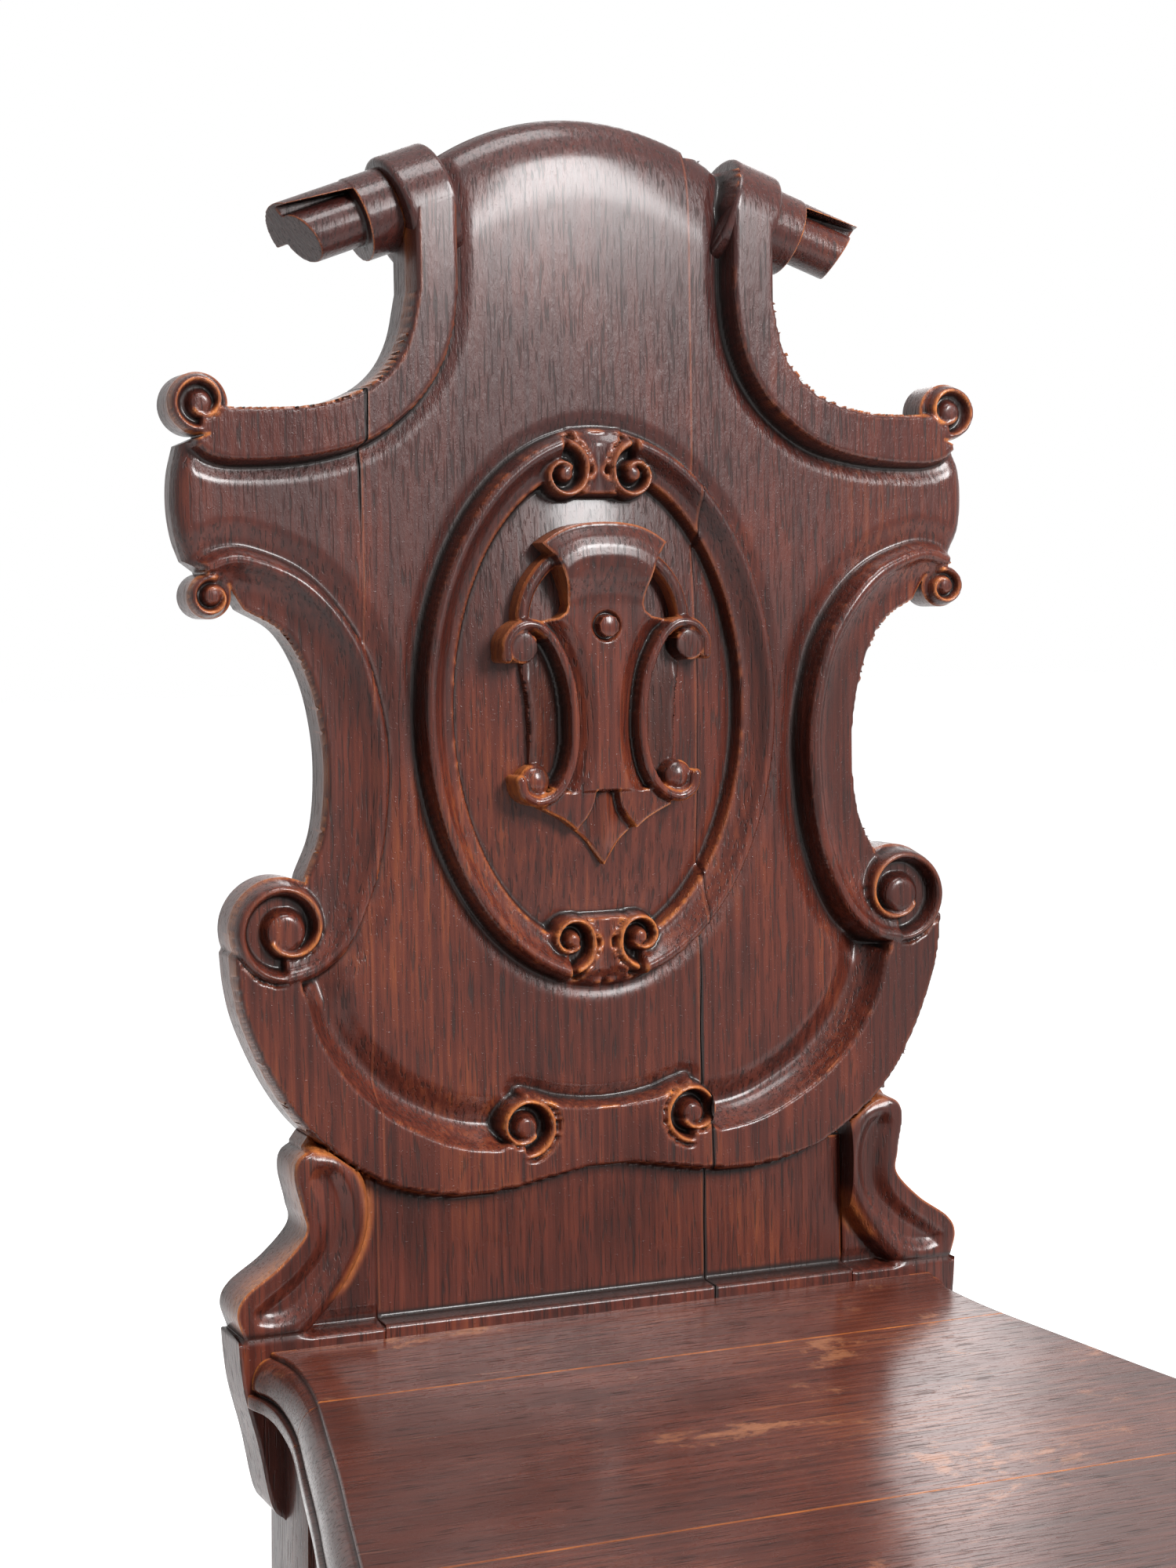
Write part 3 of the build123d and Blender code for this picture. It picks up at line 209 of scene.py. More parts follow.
crown_radius = 107.0
roll_axis_x, roll_axis_s, roll_depth, roll_radius = 66.0, 427.0, -13.0, 22.6
roll_fall = radians(20.0)
crown_line = ring((0.0, 463.0 - crown_radius), crown_radius, 90.0, -33.4, 40)
column_top = [(63.0, 445.1), (80.4, 438.8), (74.9, 423.8)]
shoulder_line = flow([(74.9, 394.0), (79.0, 376.0), (86.5, 363.5), (98.9, 355.1), (118.0, 350.2), (146.0, 349.6)])
flank_line = flow([(163.0, 336.0), (165.6, 325.0), (166.0, 313.0), (164.4, 302.0), (161.4, 293.5)])
bay_line = flow([(141.0, 275.5), (126.5, 266.5), (116.9, 249.0), (112.2, 228.0), (111.6, 207.9), (114.0, 190.0),
                 (120.0, 175.5)])
skirt_line = flow([(149.8, 147.0), (148.6, 134.0), (145.4, 120.0), (137.6, 101.4), (128.0, 85.5), (116.4, 73.2),
                   (98.0, 60.0), (79.6, 52.8), (66.0, 50.4), (55.9, 50.0), (40.0, 51.0), (26.9, 53.4), (13.0, 55.8),
                   (0.0, 56.5)])
upper_volute = (156.6, 351.0)
middle_volute = (154.0, 280.6)
lower_volute = (130.0, 155.6)
skirt_volute = (35.4, 74.0)
shoulder_inner = np.vstack([[(65.2, 451.3)], flow([
    (57.5, 430.0), (57.5, 416.0), (57.5, 394.0), (60.5, 376.0), (67.2, 361.1), (78.5, 348.0), (95.4, 337.0),
    (117.0, 331.5), (140.4, 330.0), (152.0, 331.5), (158.6, 336.0)])])
bay_crest = flow([(157.5, 292.5), (149.0, 296.0), (138.9, 295.6), (121.5, 288.5), (107.9, 276.4), (97.0, 259.5),
                  (91.2, 240.8), (88.4, 222.0), (88.9, 203.0), (91.5, 183.0), (96.9, 165.3), (105.5, 149.0),
                  (117.4, 139.0), (130.0, 135.6)])
skirt_inner = flow([(122.6, 131.0), (118.0, 115.5), (107.9, 99.5), (92.5, 84.5), (73.4, 73.6), (60.0, 69.0),
                    (46.5, 67.0)])
bridge_line = flow([(35.4, 86.8), (28.0, 84.6), (21.5, 82.4), (10.0, 80.4), (0.0, 79.8)])
shield_half = np.vstack([
    crown_line, column_top, [(74.9, 410.0)], shoulder_line,
    ring(upper_volute, 11.5, 186.0, -290.0, 40), flank_line,
    ring(middle_volute, 8.5, 80.0, -290.0, 30), bay_line,
    ring(lower_volute, 20.0, 118.0, -138.0, 46), skirt_line,
])
shoulder_strap = np.vstack([[(82.0, 445.0), (80.4, 438.8), (74.9, 423.8), (74.9, 410.0)], shoulder_line,
                            [upper_volute], shoulder_inner[::-1]])
bay_strap = np.vstack([bay_line, [lower_volute], bay_crest[::-1], [middle_volute]])
skirt_strap = np.vstack([skirt_line, bridge_line[::-1], [skirt_volute], skirt_inner[::-1], [lower_volute]])
oval_centre = (0.0, 235.0)
oval_half, lip_half = (73.5, 106.6), (60.5, 93.6)
oval_line = ring(oval_centre, oval_half[0], count=240, tall=oval_half[1])
oval_lip = ring(oval_centre, lip_half[0], count=220, tall=lip_half[1])


def volute(h, x, s, centre, start, turn, radii, widths, eye, floor_level, top, eye_top):
    """A spiral bead cut round an eye; radii and widths are given at each quarter turn from the start."""
    dx, ds = x - centre[0], s - centre[1]
    r = np.hypot(dx, ds)
    swept = (turn * (np.degrees(np.arctan2(ds, dx)) - start)) % 360.0
    quarter = [0, 90, 180, 270, 360]
    path = np.interp(swept, quarter, radii)
    half = np.interp(swept, quarter, widths)
    bead = wall(np.abs((r - path) / half) ** 2.4, 1.0, 0.75)
    tail_path = np.interp(swept + 360.0, [360, 420], [radii[-1], radii[-1] * 0.8])
    tail = wall(np.abs((r - tail_path) / widths[-1]) ** 2.4, 1.0, 0.75) * (swept < 60.0)
    cut = floor_level + (top - floor_level) * np.maximum(bead, tail)
    cut = np.maximum(cut, floor_level + (eye_top - floor_level) * dome(r / eye, 6))
    return np.where(r < path + half, cut, h)


strap_top, ledge_top = 9.6, 10.0
ledge_rise, neck_rise = 4.5, 58.0
crown_band, crown_drop = 34.0, 13.5
crest_bead, oval_bead = 5.4, 4.6
skirt_from, bridge_to = 40.0, 46.0
oval_scrolls = ((14.2, 325.5, 1.0), (14.2, 145.5, -1.0))
# each: centre, start, turn, radii and half widths at the quarter turns, eye, floor, top of the bead, top of the eye
volutes = (
    (lower_volute, -90.0, 1.0, (17.3, 17.3, 16.2, 12.8, 8.2), (2.7, 2.7, 2.5, 2.1, 1.7), 8.4, 2.4, 9.8, 8.8),
    (skirt_volute, -90.0, -1.0, (11.0, 11.0, 10.4, 8.6, 5.6), (2.0, 2.0, 1.8, 1.6, 1.3), 5.3, 2.0, 9.9, 8.6),
    (upper_volute, -90.0, 1.0, (9.7, 9.7, 9.0, 7.0, 4.4), (1.8, 1.8, 1.6, 1.4, 1.1), 4.6, 0.6, 5.4, 4.8),
    (middle_volute, 110.0, -1.0, (6.9, 6.9, 6.4, 5.2, 3.4), (1.6, 1.6, 1.4, 1.2, 1.0), 3.7, 0.4, 5.0, 4.8),
)


def share_of_oval(x, s, half):
    """0 at the middle of the oval and 1 on an oval line of these half widths."""
    return np.sqrt((x / half[0]) ** 2 + ((s - oval_centre[1]) / half[1]) ** 2)


def carved_back(x, s):
    """Height of the carved face over its ground; the left half mirrors the right."""
    x = np.abs(x)
    in_shield = s > neck_rise
    far_fall = 5.5 * ease(x, 98.0, 172.0) * ease(s, 150.0, 215.0)
    over_crown = crown_drop * (1.0 - dome(wall(reach(x, s, crown_line, crown_band)[0], crown_band, 1), 2.6))
    h = np.where(s > 400.0, -over_crown, 0.0) - rounded(reach(x, s, flank_line, 9.0)[0], 7.0)
    # hollows that the gouge left in the ground beside the straps
    gap = reach(x, s, shoulder_inner, 12.0)[0]
    crest_gap = reach(x, s, bay_crest, 16.0)[0]
    skirt_gap = reach(x, s, skirt_inner, 22.0)[0]
    above_bridge = reach(x, s, bridge_line, 12.0)[0]
    oval_gap = reach(x, s, oval_line, 16.0)[0]
    by_skirt, by_bridge = in_shield & (x > skirt_from), in_shield & (x < bridge_to)
    for depth, near, away, line_gap, where in (
            (1.8, 2.0, 9.0, gap, in_shield), (2.2, 3.0, 14.0, crest_gap, in_shield),
            (3.2, 8.0, 20.0, skirt_gap, by_skirt), (1.8, 2.0, 8.0, above_bridge, by_bridge),
            (1.2, 2.0, 9.0, oval_gap, in_shield)):
        h -= depth * (1.0 - ease(line_gap, near, away)) * where
    h = np.where(in_shield, h, 0.0)
    # steep walls from the ground up to the straps, with a cove under the skirt and the C straps
    ground = h.copy()
    for top, steep, where in (
            (9.0 - far_fall, wall(gap, 1.8, 1.3), in_shield), (6.5 - far_fall, wall(crest_gap, 3.4, 2.0), in_shield),
            (8.4, wall(skirt_gap, 9.5, 2.1), by_skirt), (7.6, wall(above_bridge, 2.2, 1.4), by_bridge),
            (8.0, wall(oval_gap, 1.8, 1.3), in_shield)):
        h = np.maximum(h, np.where(where, ground + (top - ground) * steep, h))
    # skirt strap: a flat band, with a saddle between its two volutes
    saddle = 2.2 * (1.0 - ease(x, 2.0, 24.0)) + 2.5 * ease(x, 110.0, 150.0)
    eased = 0.9 * wall(skirt_gap, 1.2, 2) + 0.9 * wall(above_bridge, 1.2, 2)
    h = np.where(within(x, s, skirt_strap), np.maximum(h, strap_top - saddle - eased), h)
    # C strap: a round bead along its crest and a hollow face that thins towards the bay
    span = np.maximum(crest_gap + reach(x, s, bay_line, 34.0)[0], 8.0)
    beyond = np.clip((crest_gap - crest_bead) / np.maximum(span - crest_bead, 1.0), 0.0, 1.0)
    bead = strap_top - 1.7 * (crest_gap / (0.5 * crest_bead) - 1.0) ** 2
    hollow_face = 3.0 + 4.4 * (1.0 - beyond) ** 2.4 + 0.9 * beyond ** 3
    strap_face = np.where(crest_gap < crest_bead, bead, hollow_face) - far_fall
    h = np.where(within(x, s, bay_strap), np.maximum(strap_face, 1.0 - far_fall * 0.4), h)
    # shoulder strap: a flat band that rolls back over the top of the column
    fallen = (s - roll_axis_s + (x - roll_axis_x) * np.tan(roll_fall)) * cos(roll_fall)
    rolled = roll_depth + np.sqrt(np.clip(roll_radius ** 2 - np.clip(fallen, 0.0, 21.0) ** 2, 0.0, None))
    strap_level = np.where(fallen > 0.0, rolled - 0.3 * ease(fallen, 0.5, 2.0), strap_top)
    h = np.where(within(x, s, shoulder_strap), strap_level - 0.9 * wall(gap, 1.6, 2) - far_fall, h)
    # oval frame: bead on the rim, a cove inwards, a small lip and the domed field
    to_lip = share_of_oval(x, s, lip_half)
    in_oval = share_of_oval(x, s, oval_half) < 1.0
    cove = np.clip((oval_gap - oval_bead) / 8.4, 0.0, 1.0)
    frame_face = np.where(oval_gap < oval_bead, strap_top - 1.5 * (oval_gap / (0.5 * oval_bead) - 1.0) ** 2,
                          3.2 + 4.9 * (1.0 - cove) ** 2.2 + 1.0 * cove ** 4)
    field = -3.2 + 7.0 * (1.0 - to_lip ** 2) + 6.2 * wall(reach(x, s, oval_lip, 14.0)[0], 1.3, 1.2)
    h = np.where(in_oval, np.where(to_lip < 1.0, field, frame_face), h)
    # scrolled ends of the oval frame and the waisted bridges between them
    for scroll_x, scroll_s, rise in oval_scrolls:
        along = (s - scroll_s) * rise
        h = np.where((x < 15.0) & (along > 4.0) & in_oval, -1.0, h)
        waist = 3.2 + 7.0 * ease(np.abs(along - 2.0), 1.0, 13.0)
        bridge_face = 5.2 + 3.2 * (x / waist) ** 2
        on_bridge = (x < waist) & (along > -8.5) & (along < 17.0)
        h = np.where(on_bridge, np.maximum(h, bridge_face * (1.0 - 0.5 * ease(along, 11.0, 17.0))), h)
        h = volute(h, x, s, (scroll_x, scroll_s), 90.0 * rise, rise, (12.2, 8.4, 7.8, 6.6, 4.2),
                   (2.3, 1.9, 1.7, 1.5, 1.1), 3.6, 1.0, 9.2, 8.0)
    for spiral in volutes:
        h = volute(h, x, s, *spiral)
    return np.where(s < ledge_rise, ledge_top, h)


def on_back(x, s, h):
    """Points of the chair, in metres, from millimetres across, up and out of the back."""
    out = np.outer(0.001 * s, back_up) + np.outer(0.001 * h, back_out) + np.array(back_foot)
    out[:, 0] += 0.001 * x
    return out


def seam_gap(s, seam):
    """How far a glue seam has opened at each rise up the back."""
    if seam > 0:
        closed, at_foot, at_oval = 0.05, 0.26, 0.13
        return closed + at_foot * (1.0 - ease(s, 96.0, 160.0)) + at_oval * (1.0 - ease(s, 300.0, 345.0))
    closed, at_crown = 0.07, 0.46
    return closed + at_crown * ease(s, 296.0, 330.0)


def seam_edge(s, seam, side):
    """Where a board's edge really runs along a glue seam that has opened a little."""
    open_by = seam_gap(s, seam)
    wander = 0.25 * np.sin(s / 17.0 + seam) + 0.15 * np.sin(s / 6.1)
    return seam + wander * ease(open_by, 0.06, 0.25) + side * 0.5 * open_by


def nearby_mean(value, cells):
    """Mean of the values in a square of points about each point."""
    for axis in (0, 1):
        held = np.pad(value, [(cells * (axis == 0),) * 2, (cells * (axis == 1),) * 2], mode="edge")
        run = value.shape[axis]
        value = sum(np.take(held, np.arange(k, k + run), axis) for k in range(2 * cells + 1)) / (2 * cells + 1)
    return value


def drawn_edge(lines):
    """Finds the nearest point of a piece's outline, given as drawn lines."""
    def nearest(x, s, far):
        best, best_x, best_s = np.full(x.shape, far), x.copy(), s.copy()
        for line in lines:
            gap, nx, ns = reach(x, s, line, far)
            nearer = gap < best
            best[nearer], best_x[nearer], best_s[nearer] = gap[nearer], nx[nearer], ns[nearer]
        return best, best_x, best_s
    return nearest


# share of its radius that an arris falls, share of its own height that a point keeps when the face is smoothed
arris_fall, own_share = 0.62, 0.35
# band along the outline, how far round a point a hollow is looked for, and how deep it is when grime and painted
# shade start
outline_band, hollow_reach, hollow_from, hollow_span = 2.6, 3.2, 0.6, 2.0


def piece_from(body, name, mesh=None):
    """Puts a worked body into the scene as a piece."""
    mesh = mesh or bpy.data.meshes.new(name)
    body.to_mesh(mesh)
    body.free()
    piece = bpy.data.objects.new(name, mesh)
    bpy.context.scene.collection.objects.link(piece)
    return piece


def carve(name, across, rises, inside, edge, height, guides, rear, arris=1.6, seams=()):
    """A piece carved from its face: a fine net of points at their heights, walls down its edge, a flat rear."""
    cell = float(across[1] - across[0])
    x, s = np.meshgrid(across, rises)
    kept = inside(0.5 * (x[1:, 1:] + x[:-1, :-1]), 0.5 * (s[1:, 1:] + s[:-1, :-1]))
    used = sum(np.pad(kept.astype(int), ((i, 1 - i), (j, 1 - j))) for i in (0, 1) for j in (0, 1))
    live, inner = used > 0, used == 4
    border = live & ~inner
    held = np.zeros(x.shape, bool)
    for column, seam in seams:
        held[:, column] = True
    held[0, :] = held[-1, :] = True
    # points at the border move on to the outline, points near a guide line on to that
    ex, es = x.copy(), s.copy()
    gap, nx, ns = edge(x[border], s[border], 3.0 * cell)
    move = gap < 2.0 * cell
    i, j = (part[move] for part in np.nonzero(border))
    loose = ~held[i, j]
    ex[i[loose], j[loose]] = nx[move][loose]
    es[i[loose], j[loose]] = ns[move][loose]
    tied = held[i, j] & (i > 0) & (i < x.shape[0] - 1)
    es[i[tied], j[tied]] = ns[move][tied]
    free = inner & ~held
    for line in guides:
        gap, nx, ns = reach(x[free], s[free], line, 2.0 * cell)
        move = gap < 0.5 * cell
        i, j = (part[move] for part in np.nonzero(free))
        ex[i, j], es[i, j] = nx[move], ns[move]

    def mean_height(cells):
        return nearby_mean(face_h * live, cells) / np.maximum(nearby_mean(live.astype(float), cells), 0.01)

    from_edge = edge(ex, es, outline_band)[0]
    face_h = height(ex, es) - rounded(np.minimum(from_edge, arris), arris) * arris_fall
    face_h = np.where(inner, own_share * face_h + (1.0 - own_share) * mean_height(1), face_h)
    lower_by = mean_height(int(round(hollow_reach / cell))) - face_h
    hollow = np.clip((lower_by - hollow_from) / hollow_span, 0.0, 1.0)
    for column, seam in seams:
        ex[:, column] = seam_edge(es[:, column], seam, 1.0 if column == 0 else -1.0)
    number = -np.ones(x.shape, int)
    number[live] = np.arange(live.sum())
    corners = (number[:-1, :-1], number[:-1, 1:], number[1:, 1:], number[1:, :-1])
    mesh = bpy.data.meshes.new(name)
    mesh.from_pydata(on_back(ex[live], es[live], face_h[live]).tolist(), [],
                     np.stack([corner[kept] for corner in corners], 1).tolist())
    for label, value in (("hollow", hollow), ("outline", 1.0 - ease(from_edge, 0.0, outline_band))):
        mesh.attributes.new(label, "FLOAT", "POINT").data.foreach_set("value", value[live].astype(np.float32))
    body = bmesh.new()
    body.from_mesh(mesh)
    rim = [side for side in body.edges if side.is_boundary]
    for side in rim:
        side.smooth = False
    # strips of wall: each drops by a length, or ends at a level
    for drop, level in ((0.8, None), (1.7, None), (0.0, rear + 0.8), (0.0, rear)):
        strip = bmesh.ops.extrude_edge_only(body, edges=rim)["geom"]
        for point in strip:
            if isinstance(point, bmesh.types.BMVert):
                now = (point.co - back_foot).dot(back_out)
                then = now - 0.001 * drop if level is None else 0.001 * level
                point.co -= back_out * (now - max(then, 0.001 * rear))
        rim = [side for side in strip if isinstance(side, bmesh.types.BMEdge) and side.is_boundary]
    bmesh.ops.holes_fill(body, edges=rim, sides=0)
    bmesh.ops.recalc_face_normals(body, faces=body.faces)
    for face in body.faces:
        face.smooth = len(face.verts) == 4
    return piece_from(body, name, mesh)


def read(values, field, kind=float, width=1):
    """One field of a mesh's points, edges or corners, as an array."""
    held = np.zeros(len(values) * width, kind)
    values.foreach_get(field, held)
    return held.reshape(-1, width) if width > 1 else held


def mark_wear_and_shade(piece, rub=1.0, passes=1, sides=0.0, seams=(), kept=None):
    """Arrises rubbed by hands; wax and dirt in the hollows and joints, with painted shade in the hollows and on side
    walls.
    """
    mesh = piece.data
    tiny, seam_reach = 1e-9, 0.75
    worn_from, worn_to, wear_gain, dirt_and_shade_gain = 0.12, 0.34, 1.4, 6.0
    co = read(mesh.vertices, "co", width=3)
    normal = read(mesh.vertices, "normal", width=3)
    pair = read(mesh.edges, "vertices", int, 2)
    run = co[pair[:, 1]] - co[pair[:, 0]]
    run /= np.linalg.norm(run, axis=1, keepdims=True) + tiny
    bend = np.zeros(len(co))
    number = np.full(len(co), tiny)
    np.add.at(bend, pair[:, 0], -(run * normal[pair[:, 0]]).sum(1))
    np.add.at(bend, pair[:, 1], (run * normal[pair[:, 1]]).sum(1))
    np.add.at(number, pair[:, 0], 1.0)
    np.add.at(number, pair[:, 1], 1.0)
    bend /= number

    def spread(value, times):
        for _ in range(times):
            total = value.copy()
            np.add.at(total, pair[:, 0], value[pair[:, 1]])
            np.add.at(total, pair[:, 1], value[pair[:, 0]])
            value = total / (number + 1.0)
        return value

    corner = read(mesh.loops, "vertex_index", int)
    sides_of_face = read(mesh.polygons, "loop_total", int)
    on_rear_face = np.repeat(sides_of_face > 4, sides_of_face)
    rubbed = np.clip(spread(ease(bend * rub, worn_from, worn_to), passes) * wear_gain, 0.0, 1.0)
    # creases and hollows are darkened: partly old wax and dirt, partly painted shade
    grime_and_shade = np.clip(spread(-bend, passes + 2) * dirt_and_shade_gain, 0.0, 1.0)
    rise = 1000.0 * ((co - np.array(back_foot)) @ np.array(back_up))
    if "hollow" in mesh.attributes:
        hollow = read(mesh.attributes["hollow"].data, "value")
        outline = read(mesh.attributes["outline"].data, "value")
        front = 0.6 * ease((co - np.array(back_foot)) @ np.array(back_out), -0.006, 0.001)
        rubbed = rubbed * (1.0 - ease(outline, 0.0, 0.3)) + ease(outline, 0.55, 1.0) * front
        grime_and_shade = np.maximum(grime_and_shade, 0.8 * hollow) * (1.0 - 0.8 * ease(outline, 0.0, 0.5))
        mesh.attributes.remove(mesh.attributes["hollow"])
        mesh.attributes.remove(mesh.attributes["outline"])
    # walls that face sideways are darkened too: painted shade as well as dirt
    facing = np.abs(normal @ np.array(back_out))
    grime_and_shade = np.maximum(grime_and_shade, sides * (1.0 - ease(facing, 0.15, 0.5)))
    for seam in seams:
        on_seam = np.abs(1000.0 * co[:, 0] - seam) < seam_reach
        rubbed[on_seam] = 0.0
        grime_and_shade[on_seam] = np.clip(2.6 * (seam_gap(rise[on_seam], seam) - 0.04), 0.0, 0.9)
    if kept:
        rubbed, grime_and_shade = kept(1000.0 * co[:, 0], rise, rubbed, grime_and_shade)
    for label, value in (("rubbed", rubbed), ("grime_and_shade", grime_and_shade)):
        layer = mesh.attributes.new(label, "FLOAT", "CORNER")
        layer.data.foreach_set("value", np.where(on_rear_face, 0.0, value[corner]).astype(np.float32))


def smooth_step(tree, value, low, high, to_low=0.0, to_high=1.0):
    """A node that rises smoothly between two values of its input."""
    step = tree.nodes.new("ShaderNodeMapRange")
    step.interpolation_type = "SMOOTHSTEP"
    for name, level in (("From Min", low), ("From Max", high), ("To Min", to_low), ("To Max", to_high)):
        step.inputs[name].default_value = level
    tree.links.new(value, step.inputs["Value"])
    return step.outputs["Result"]


def grain_group():
    """Figure, pores, uneven stain and tool marks of waxed oak, from a place whose Z runs along the grain."""
    group = bpy.data.node_groups.new("oak_grain", "ShaderNodeTree")
    group.interface.new_socket("Place", in_out="INPUT", socket_type="NodeSocketVector")
    for output in ("Figure", "Pores", "Stain", "Tooling", "Specks", "Scuffs", "Scratches"):
        group.interface.new_socket(output, in_out="OUTPUT", socket_type="NodeSocketFloat")
    entry = group.nodes.new("NodeGroupInput")
    result = group.nodes.new("NodeGroupOutput")
    # each: scale, detail, roughness and distortion of the noise, and the values between which it comes in
    patterns = {
        "Figure": ((430.0, 430.0, 9.0), 5.0, 0.62, 0.2, None),
        "Pores": ((1050.0, 1050.0, 70.0), 1.0, 0.5, 0.0, (0.58, 0.68)),
        "Stain": ((13.0, 13.0, 8.0), 4.0, 0.6, 0.4, None),
        "Tooling": ((420.0, 420.0, 120.0), 5.0, 0.65, 0.0, None),
        "Specks": ((900.0, 900.0, 700.0), 1.0, 0.5, 0.0, (0.64, 0.74)),
        "Scuffs": ((42.0, 42.0, 26.0), 9.0, 0.72, 0.3, (0.56, 0.66)),
        "Scratches": ((36.0, 1100.0, 14.0), 1.0, 0.5, 0.6, (0.74, 0.79)),
    }
    for output, (scale, detail, roughness, distortion, window) in patterns.items():
        place = group.nodes.new("ShaderNodeMapping")
        place.inputs["Scale"].default_value = scale
        noise = group.nodes.new("ShaderNodeTexNoise")
        for name, level in (("Scale", 1.0), ("Detail", detail), ("Roughness", roughness),
                            ("Distortion", distortion)):
            noise.inputs[name].default_value = level
        group.links.new(entry.outputs["Place"], place.inputs["Vector"])
        group.links.new(place.outputs["Vector"], noise.inputs["Vector"])
        value = noise.outputs["Fac"]
        if window:
            value = smooth_step(group, value, *window)
        group.links.new(value, result.inputs[output])
    return group


oak_grain = grain_group()


def oak_finish(name, turn, dark, warm, worn, rough, tooling=1.0, top_sheen_paint=None, coat=0.24, scuffs=0.0):
    """Fumed and waxed oak with grime, painted shade and top sheen; turn lays the grain along Z before the pattern is
    read.
    """
    finish = bpy.data.materials.new(name)
    finish.use_nodes = True
    tree = finish.node_tree
    shader = tree.nodes["Principled BSDF"]
    where = tree.nodes.new("ShaderNodeTexCoord")
    lay = tree.nodes.new("ShaderNodeMapping")
    lay.inputs["Rotation"].default_value = turn
    tree.links.new(where.outputs["Object"], lay.inputs["Vector"])
    grain = tree.nodes.new("ShaderNodeGroup")
    grain.node_tree = oak_grain
    tree.links.new(lay.outputs["Vector"], grain.inputs["Place"])

    def give(socket, value):
        if isinstance(value, (tuple, float)):
            socket.default_value = value
        else:
            tree.links.new(value, socket)

    def blend(low, high, factor):
        mix = tree.nodes.new("ShaderNodeMix")
        mix.data_type = "RGBA"
        colours = [socket for socket in mix.inputs if socket.type == "RGBA"]
        give(colours[0], low)
        give(colours[1], high)
        give(mix.inputs[0], factor)
        return [socket for socket in mix.outputs if socket.type == "RGBA"][0]

    def window(value, *levels):
        return smooth_step(tree, value, *levels)

    def maths(first, second, operation="MULTIPLY"):
        node = tree.nodes.new("ShaderNodeMath")
        node.operation = operation
        give(node.inputs[0], first)
        give(node.inputs[1], second)
        return node.outputs[0]

    worn_brown = (0.20, 0.052, 0.022, 1.0)
    pore_brown, wax_and_shade_black = (0.005, 0.0028, 0.0022, 1.0), (0.004, 0.0024, 0.0020, 1.0)
    scuff_tan, scratch_pale = (0.27, 0.105, 0.050, 1.0), (0.33, 0.17, 0.11, 1.0)
    amber = (warm[0] * 1.6, warm[1] * 2.0, warm[2] * 1.2, 1.0)
    rubbed = tree.nodes.new("ShaderNodeAttribute")
    rubbed.attribute_name = "rubbed"
    grime_and_shade = tree.nodes.new("ShaderNodeAttribute")
    grime_and_shade.attribute_name = "grime_and_shade"
    colour = blend(dark, warm, window(grain.outputs["Figure"], 0.34, 0.66, 0.16, 0.76))
    colour = blend(colour, warm, maths(window(grain.outputs["Stain"], 0.46, 0.74), 0.5))
    in_amber = maths(window(grain.outputs["Stain"], 0.52, 0.72),
                     window(grain.outputs["Figure"], 0.44, 0.72, 0.0, 0.8))
    colour = blend(colour, amber, in_amber)
    colour = blend(colour, dark, maths(window(grain.outputs["Stain"], 0.58, 0.36), 0.55))
    crackle = 0.4 * tooling
    # painted sheen: the top of the back is tinted purple-grey where the lamps' sheen falls, and its tool marks are
    # deeper
    if top_sheen_paint is not None:
        height = tree.nodes.new("ShaderNodeSeparateXYZ")
        tree.links.new(where.outputs["Object"], height.inputs[0])
        colour = blend(colour, top_sheen_paint, maths(window(height.outputs["Z"], 0.66, 0.84), 0.55))
        crackle = window(height.outputs["Z"], 0.70, 0.84, 0.5 * tooling, 1.5 * tooling)
    colour = blend(colour, pore_brown, maths(grain.outputs["Pores"], 0.62))
    # black in the joints and hollows: old wax and dirt, with painted shade in the recesses and on the side walls
    colour = blend(colour, wax_and_shade_black, maths(window(grime_and_shade.outputs["Fac"], 0.04, 0.8), 0.93))
    if scuffs:
        scuffed = maths(grain.outputs["Scuffs"], window(grain.outputs["Stain"], 0.46, 0.60))
        colour = blend(colour, scuff_tan, maths(scuffed, scuffs))
        colour = blend(colour, scratch_pale, maths(grain.outputs["Scratches"], 0.6 * scuffs))
    colour = blend(colour, worn_brown, maths(window(rubbed.outputs["Fac"], 0.02, 0.45), 0.55))
    worn_part = maths(window(rubbed.outputs["Fac"], 0.22, 0.80),
                      window(grain.outputs["Tooling"], 0.30, 0.62, 0.12, 1.0))
    worn_part = maths(worn_part, window(grain.outputs["Stain"], 0.36, 0.60, 0.25, 1.0))
    colour = blend(colour, worn, worn_part)
    give(shader.inputs["Base Color"], colour)
    base_rough = window(grain.outputs["Stain"], 0.3, 0.7, rough + 0.07, rough - 0.05)
    matt = maths(maths(grain.outputs["Pores"], 0.22), maths(grime_and_shade.outputs["Fac"], 0.28), "ADD")
    give(shader.inputs["Roughness"], maths(base_rough, matt, "ADD"))
    relief = maths(maths(grain.outputs["Pores"], -0.5), maths(grain.outputs["Tooling"], crackle), "ADD")
    relief = maths(relief, maths(grain.outputs["Figure"], 0.35), "ADD")
    relief = maths(relief, maths(grain.outputs["Specks"], 0.22), "ADD")
    bump = tree.nodes.new("ShaderNodeBump")
    bump.inputs["Strength"].default_value = 0.55
    bump.inputs["Distance"].default_value = 0.0006
    tree.links.new(relief, bump.inputs["Height"])
    tree.links.new(bump.outputs["Normal"], shader.inputs["Normal"])
    shader.inputs["Specular IOR Level"].default_value = 0.19
    shader.inputs["Coat Weight"].default_value = coat
    shader.inputs["Coat Roughness"].default_value = 0.16
    return finish


fumed_dark = (0.018, 0.0042, 0.0032, 1.0)
fumed_warm = (0.112, 0.0235, 0.0135, 1.0)
